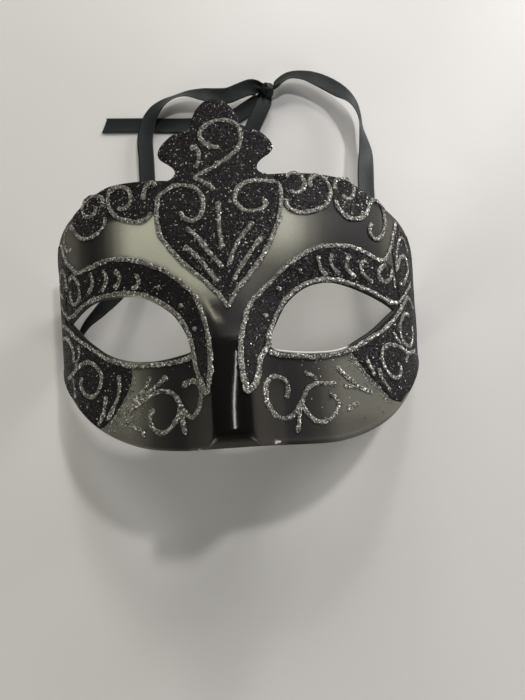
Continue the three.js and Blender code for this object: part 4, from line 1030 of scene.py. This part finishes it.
# Small strokes and dabs that stand for no solid of their own.
FINE_STROKES = {
    "fine_strokes_temple": (ON_COAT, 0.8, [
        [(74.6, 20), (75.8, 26), (77.2, 31), (79.6, 34.4), (83, 35.6), (86.4, 33.8), (88.8, 30.6)],
        [(73.2, 16.6), (73.4, 13.4), (73.6, 11)],
        [(80.2, -16.4), (79, -18.4), (78.4, -20.2)],
        [(70.4, -7.6), (72.2, -10), (75, -12.4)],
        [(-76.8, -24), (-75.9, -28), (-75.2, -33)],
        [(-70.8, -11), (-70, -14.2), (-71.6, -17.2), (-74.2, -19.6)],
        [(75.4, 5.2), (79.6, 8), (84.4, 12), (90, 16.4)],
        [(-80.8, 3), (-84, 5.2), (-88, 8.2), (-92, 11)],
    ]),
    "fine_strokes_paint": (ON_PAINT, 0.85, [
        [(-71, 40.4), (-74.4, 42.6), (-78.2, 41.4), (-79.8, 38), (-79, 34), (-76, 31.6), (-72.8, 31.6)],
        [(26.8, -26.8), (29.4, -27.8), (32, -29.4)],
        [(42.7, -31.5), (45.6, -31.6), (49, -32)],
        [(43.5, -40.7), (46, -39), (49.3, -37.8)],
        [(-45.8, -43.6), (-41.7, -44.4), (-38.3, -45.7), (-36.3, -48.2)],
        [(-33, -25.4), (-34.6, -29), (-37.4, -32), (-41.4, -34.6)],
    ]),
}
DABS = [(28.1, 13.1, 1.0), (19.3, 5.6, 1.1), (13.1, -5.7, 1.2), (-28.3, 9.6, 1.0), (-19.2, 1.4, 1.1),
        (-13.2, -8.8, 1.0), (37.4, -35, 1.1), (-65.6, -36.8, 0.5), (-37, -46.8, 0.9)]
for stroke_name, (base, width, strokes) in FINE_STROKES.items():
    bead(stroke_name, strokes, base, width=width, dots=DABS if base == ON_COAT else ())


def scatter_band(start, end, count, spread, base):
    """Loose flakes along a line of the pattern, thicker at its middle."""
    t = rng.uniform(0, 1, count)
    middle = np.array(start) + (np.array(end) - start) * t[:, None]
    return [(u, v, base) for u, v in middle + rng.normal(0, spread, (count, 2))]


FLAKE_SMALL, FLAKE_LARGE, FLAKE_LEAN, FLAKE_HALF_THICK = 0.18, 0.32, 0.5, 0.03


def flake(u, v, base):
    radius = rng.uniform(FLAKE_SMALL, FLAKE_LARGE)
    angles = np.linspace(0, 2 * math.pi, 6, endpoint=False) + rng.uniform(0, 1)
    tilt = rng.uniform(-FLAKE_LEAN, FLAKE_LEAN, 2)
    under = float(shell_top(np.array([[u, v]]))[0]) + base + radius * 0.25
    du, dv = np.cos(angles) * radius, np.sin(angles) * radius
    lean = du * tilt[0] + dv * tilt[1]
    top = form(u + du, v + dv, under + lean + FLAKE_HALF_THICK)
    low = form(u + du, v + dv, under + lean - FLAKE_HALF_THICK)
    sides = [(k + 6, (k + 1) % 6 + 6, (k + 1) % 6, k) for k in range(6)]
    return np.concatenate([top, low]), [tuple(range(6)), tuple(range(11, 5, -1)), *sides]


# Where flakes lie: the band's two ends, how many, how far they spread, and how high they lie.
FLAKE_BANDS = [
    ((-41, -22), (-44, -32), 150, 1.2, 0.02), ((-44, -32), (-57, -46), 420, 1.8, 0.02),
    ((-38, -38), (-52, -44), 180, 2.6, 0.02), ((47, -18), (54, -27), 170, 1.2, 0.02),
    ((54, -27), (65, -35), 230, 1.5, 0.02), ((-20, -23), (-60, -16), 30, 2.5, 0.05),
    ((26, -23), (48, -24), 40, 3.0, 0.02), ((30, -40), (60, -42), 25, 5.0, 0.02),
]
flakes = np.array([f for band in FLAKE_BANDS for f in scatter_band(*band)])
flakes = flakes[within(flakes[:, :2], SHELL_EDGES) & (edge_distance(flakes[:, :2]) > 1.0)]
flake_verts, flake_faces = merged([flake(*f) for f in flakes])
piece("scattered_flakes", flake_verts, flake_faces, SILVER_GLITTER, "silver_glitter", smooth_shade=False)

# ---- knot and glue ----

KNOT_TURNS, KNOT_RINGS = 56, 40


def knot_folds(lat, lon):
    wrap = abs(math.sin(2.4 * lat + 0.9 * lon + 0.4))
    return 0.90 + 0.16 * wrap + 0.05 * math.sin(3 * lon + 2 * lat)


def build_knot():
    verts, uv = [], []
    for i in range(KNOT_RINGS + 1):
        lat = math.pi * i / KNOT_RINGS - math.pi / 2
        for k in range(KNOT_TURNS):
            lon = 2 * math.pi * k / KNOT_TURNS
            unit = np.array([math.cos(lat) * math.cos(lon), math.cos(lat) * math.sin(lon), math.sin(lat)])
            verts.append(np.array(KNOT_CENTRE) + unit * KNOT_HALF * knot_folds(lat, lon))
            uv.append((3 * k % KNOT_TURNS, i))
    faces = ring_faces(KNOT_RINGS + 1, KNOT_TURNS)
    obj = piece("ribbon_knot_satin", row(np.array(verts)), faces, SATIN, "satin_ribbon", uv)
    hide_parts("ribbon_knot")


build_knot()

# The glue pads inside the temples: each level's share of the radius and its depth behind the face.
GLUE_RADIUS, GLUE_TURNS, GLUE_TOP, GLUE_DEPTH = 6, 28, -1.5, -2.95
GLUE_LEVELS = [(1.0, -1.5), (0.98, -1.9), (0.85, -2.4), (0.6, -2.75), (0.3, -2.9)]


def build_glue(name, u, v):
    angles = np.linspace(0, 2 * math.pi, GLUE_TURNS, endpoint=False)
    wobble = 1 + 0.08 * np.sin(3 * angles + u) + 0.05 * np.sin(7 * angles)
    verts = [form([u], [v], GLUE_TOP)]
    for share, w in GLUE_LEVELS:
        us = u + np.cos(angles) * GLUE_RADIUS * share * wobble
        vs = v + np.sin(angles) * GLUE_RADIUS * share * wobble
        verts.append(form(us, vs, w))
    verts.append(form([u], [v], GLUE_DEPTH))
    turns = range(GLUE_TURNS)
    last = 1 + (len(GLUE_LEVELS) - 1) * GLUE_TURNS
    faces = [(0, 1 + k, 1 + (k + 1) % GLUE_TURNS) for k in turns]
    faces += ring_faces(len(GLUE_LEVELS), GLUE_TURNS, 1, flip=True)
    faces += [(last + k, last + GLUE_TURNS, last + (k + 1) % GLUE_TURNS) for k in turns]
    obj = piece(name + "_blob", np.concatenate(verts), faces, GLUE, "hot_glue")
    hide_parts(name)


build_glue("ribbon_glue_left", -82, -6)
build_glue("ribbon_glue_right", 84, 2)

# ---- floor, light ----

TABLE_HALF, TABLE_TOP = 1.5, -1e-4
corners = [(x * TABLE_HALF, y * TABLE_HALF, TABLE_TOP) for x, y in ((-1, -1), (1, -1), (1, 1), (-1, 1))]
floor = piece("table", corners, [(0, 1, 2, 3)], TABLE)


def area_light(name, place, target, size, power, colour, size_y=None):
    light = bpy.data.lights.new(name, "AREA")
    light.energy = power
    light.size = size
    light.color = colour
    if size_y:
        light.shape = "RECTANGLE"
        light.size_y = size_y
    obj = bpy.data.objects.new(name, light)
    place, target = Vector(place), Vector(target)
    aim = (target - place).to_track_quat("-Z", "Y").to_matrix().to_4x4()
    obj.matrix_world = Matrix.Translation(place) @ aim
    bpy.context.scene.collection.objects.link(obj)
    return obj


# Each light: azimuth and elevation in degrees, distance and size in metres, watts, colour.
WARM, COOL = (1.0, 0.98, 0.86), (1.0, 0.985, 0.99)
LIGHTS = {
    "key": (52, 54, 1.4, 0.10, 6.8, COOL),
    "window": (45, 16, 0.9, 0.30, 6.0, COOL),
    "window_top": (80, 36, 1.4, 0.20, 4.2, COOL),
    "sky": (100, 20, 1.4, 1.0, 12.5, WARM),
    "far_wall": (225, 16, 0.9, 0.30, 3.3, WARM),
    "side": (315, 16, 0.9, 0.30, 2.4, COOL),
}
for light_name, (azimuth, elevation, distance, size, watts, colour) in LIGHTS.items():
    azimuth, elevation = math.radians(azimuth), math.radians(elevation)
    way = Vector((math.cos(elevation) * math.cos(azimuth), math.cos(elevation) * math.sin(azimuth),
                  math.sin(elevation)))
    light = area_light(light_name, way * distance, (0, 0, 0), size, watts, colour)
    # The sky is too wide to show as a clean shape in the gloss.
    light.visible_glossy = light_name != "sky"

# A long ceiling tube over the nose, which shows in the gloss only.
tube = area_light("tube", (-0.085, 1.2, 1.5), (-0.085, 1.2, 0), 0.02, 3.4, (1, 1, 1), 2.6)
tube.visible_diffuse = False

world = bpy.data.worlds.new("room")
world.use_nodes = True
bpy.context.scene.world = world
nodes, links = world.node_tree.nodes, world.node_tree.links
dim = nodes["Background"]
dim.inputs["Color"].default_value = (1.0, 0.985, 0.95, 1)
dim.inputs["Strength"].default_value = 0.03
# Seen directly, past the table's edge, the room is a pale wall.
wall = nodes.new("ShaderNodeBackground")
wall.inputs["Color"].default_value = (0.52, 0.51, 0.50, 1)
seen = nodes.new("ShaderNodeLightPath")
either = nodes.new("ShaderNodeMixShader")
links.new(seen.outputs["Is Camera Ray"], either.inputs[0])
links.new(dim.outputs[0], either.inputs[1])
links.new(wall.outputs[0], either.inputs[2])
links.new(either.outputs[0], nodes["World Output"].inputs["Surface"])
bpy.context.scene.view_settings.view_transform = "Standard"
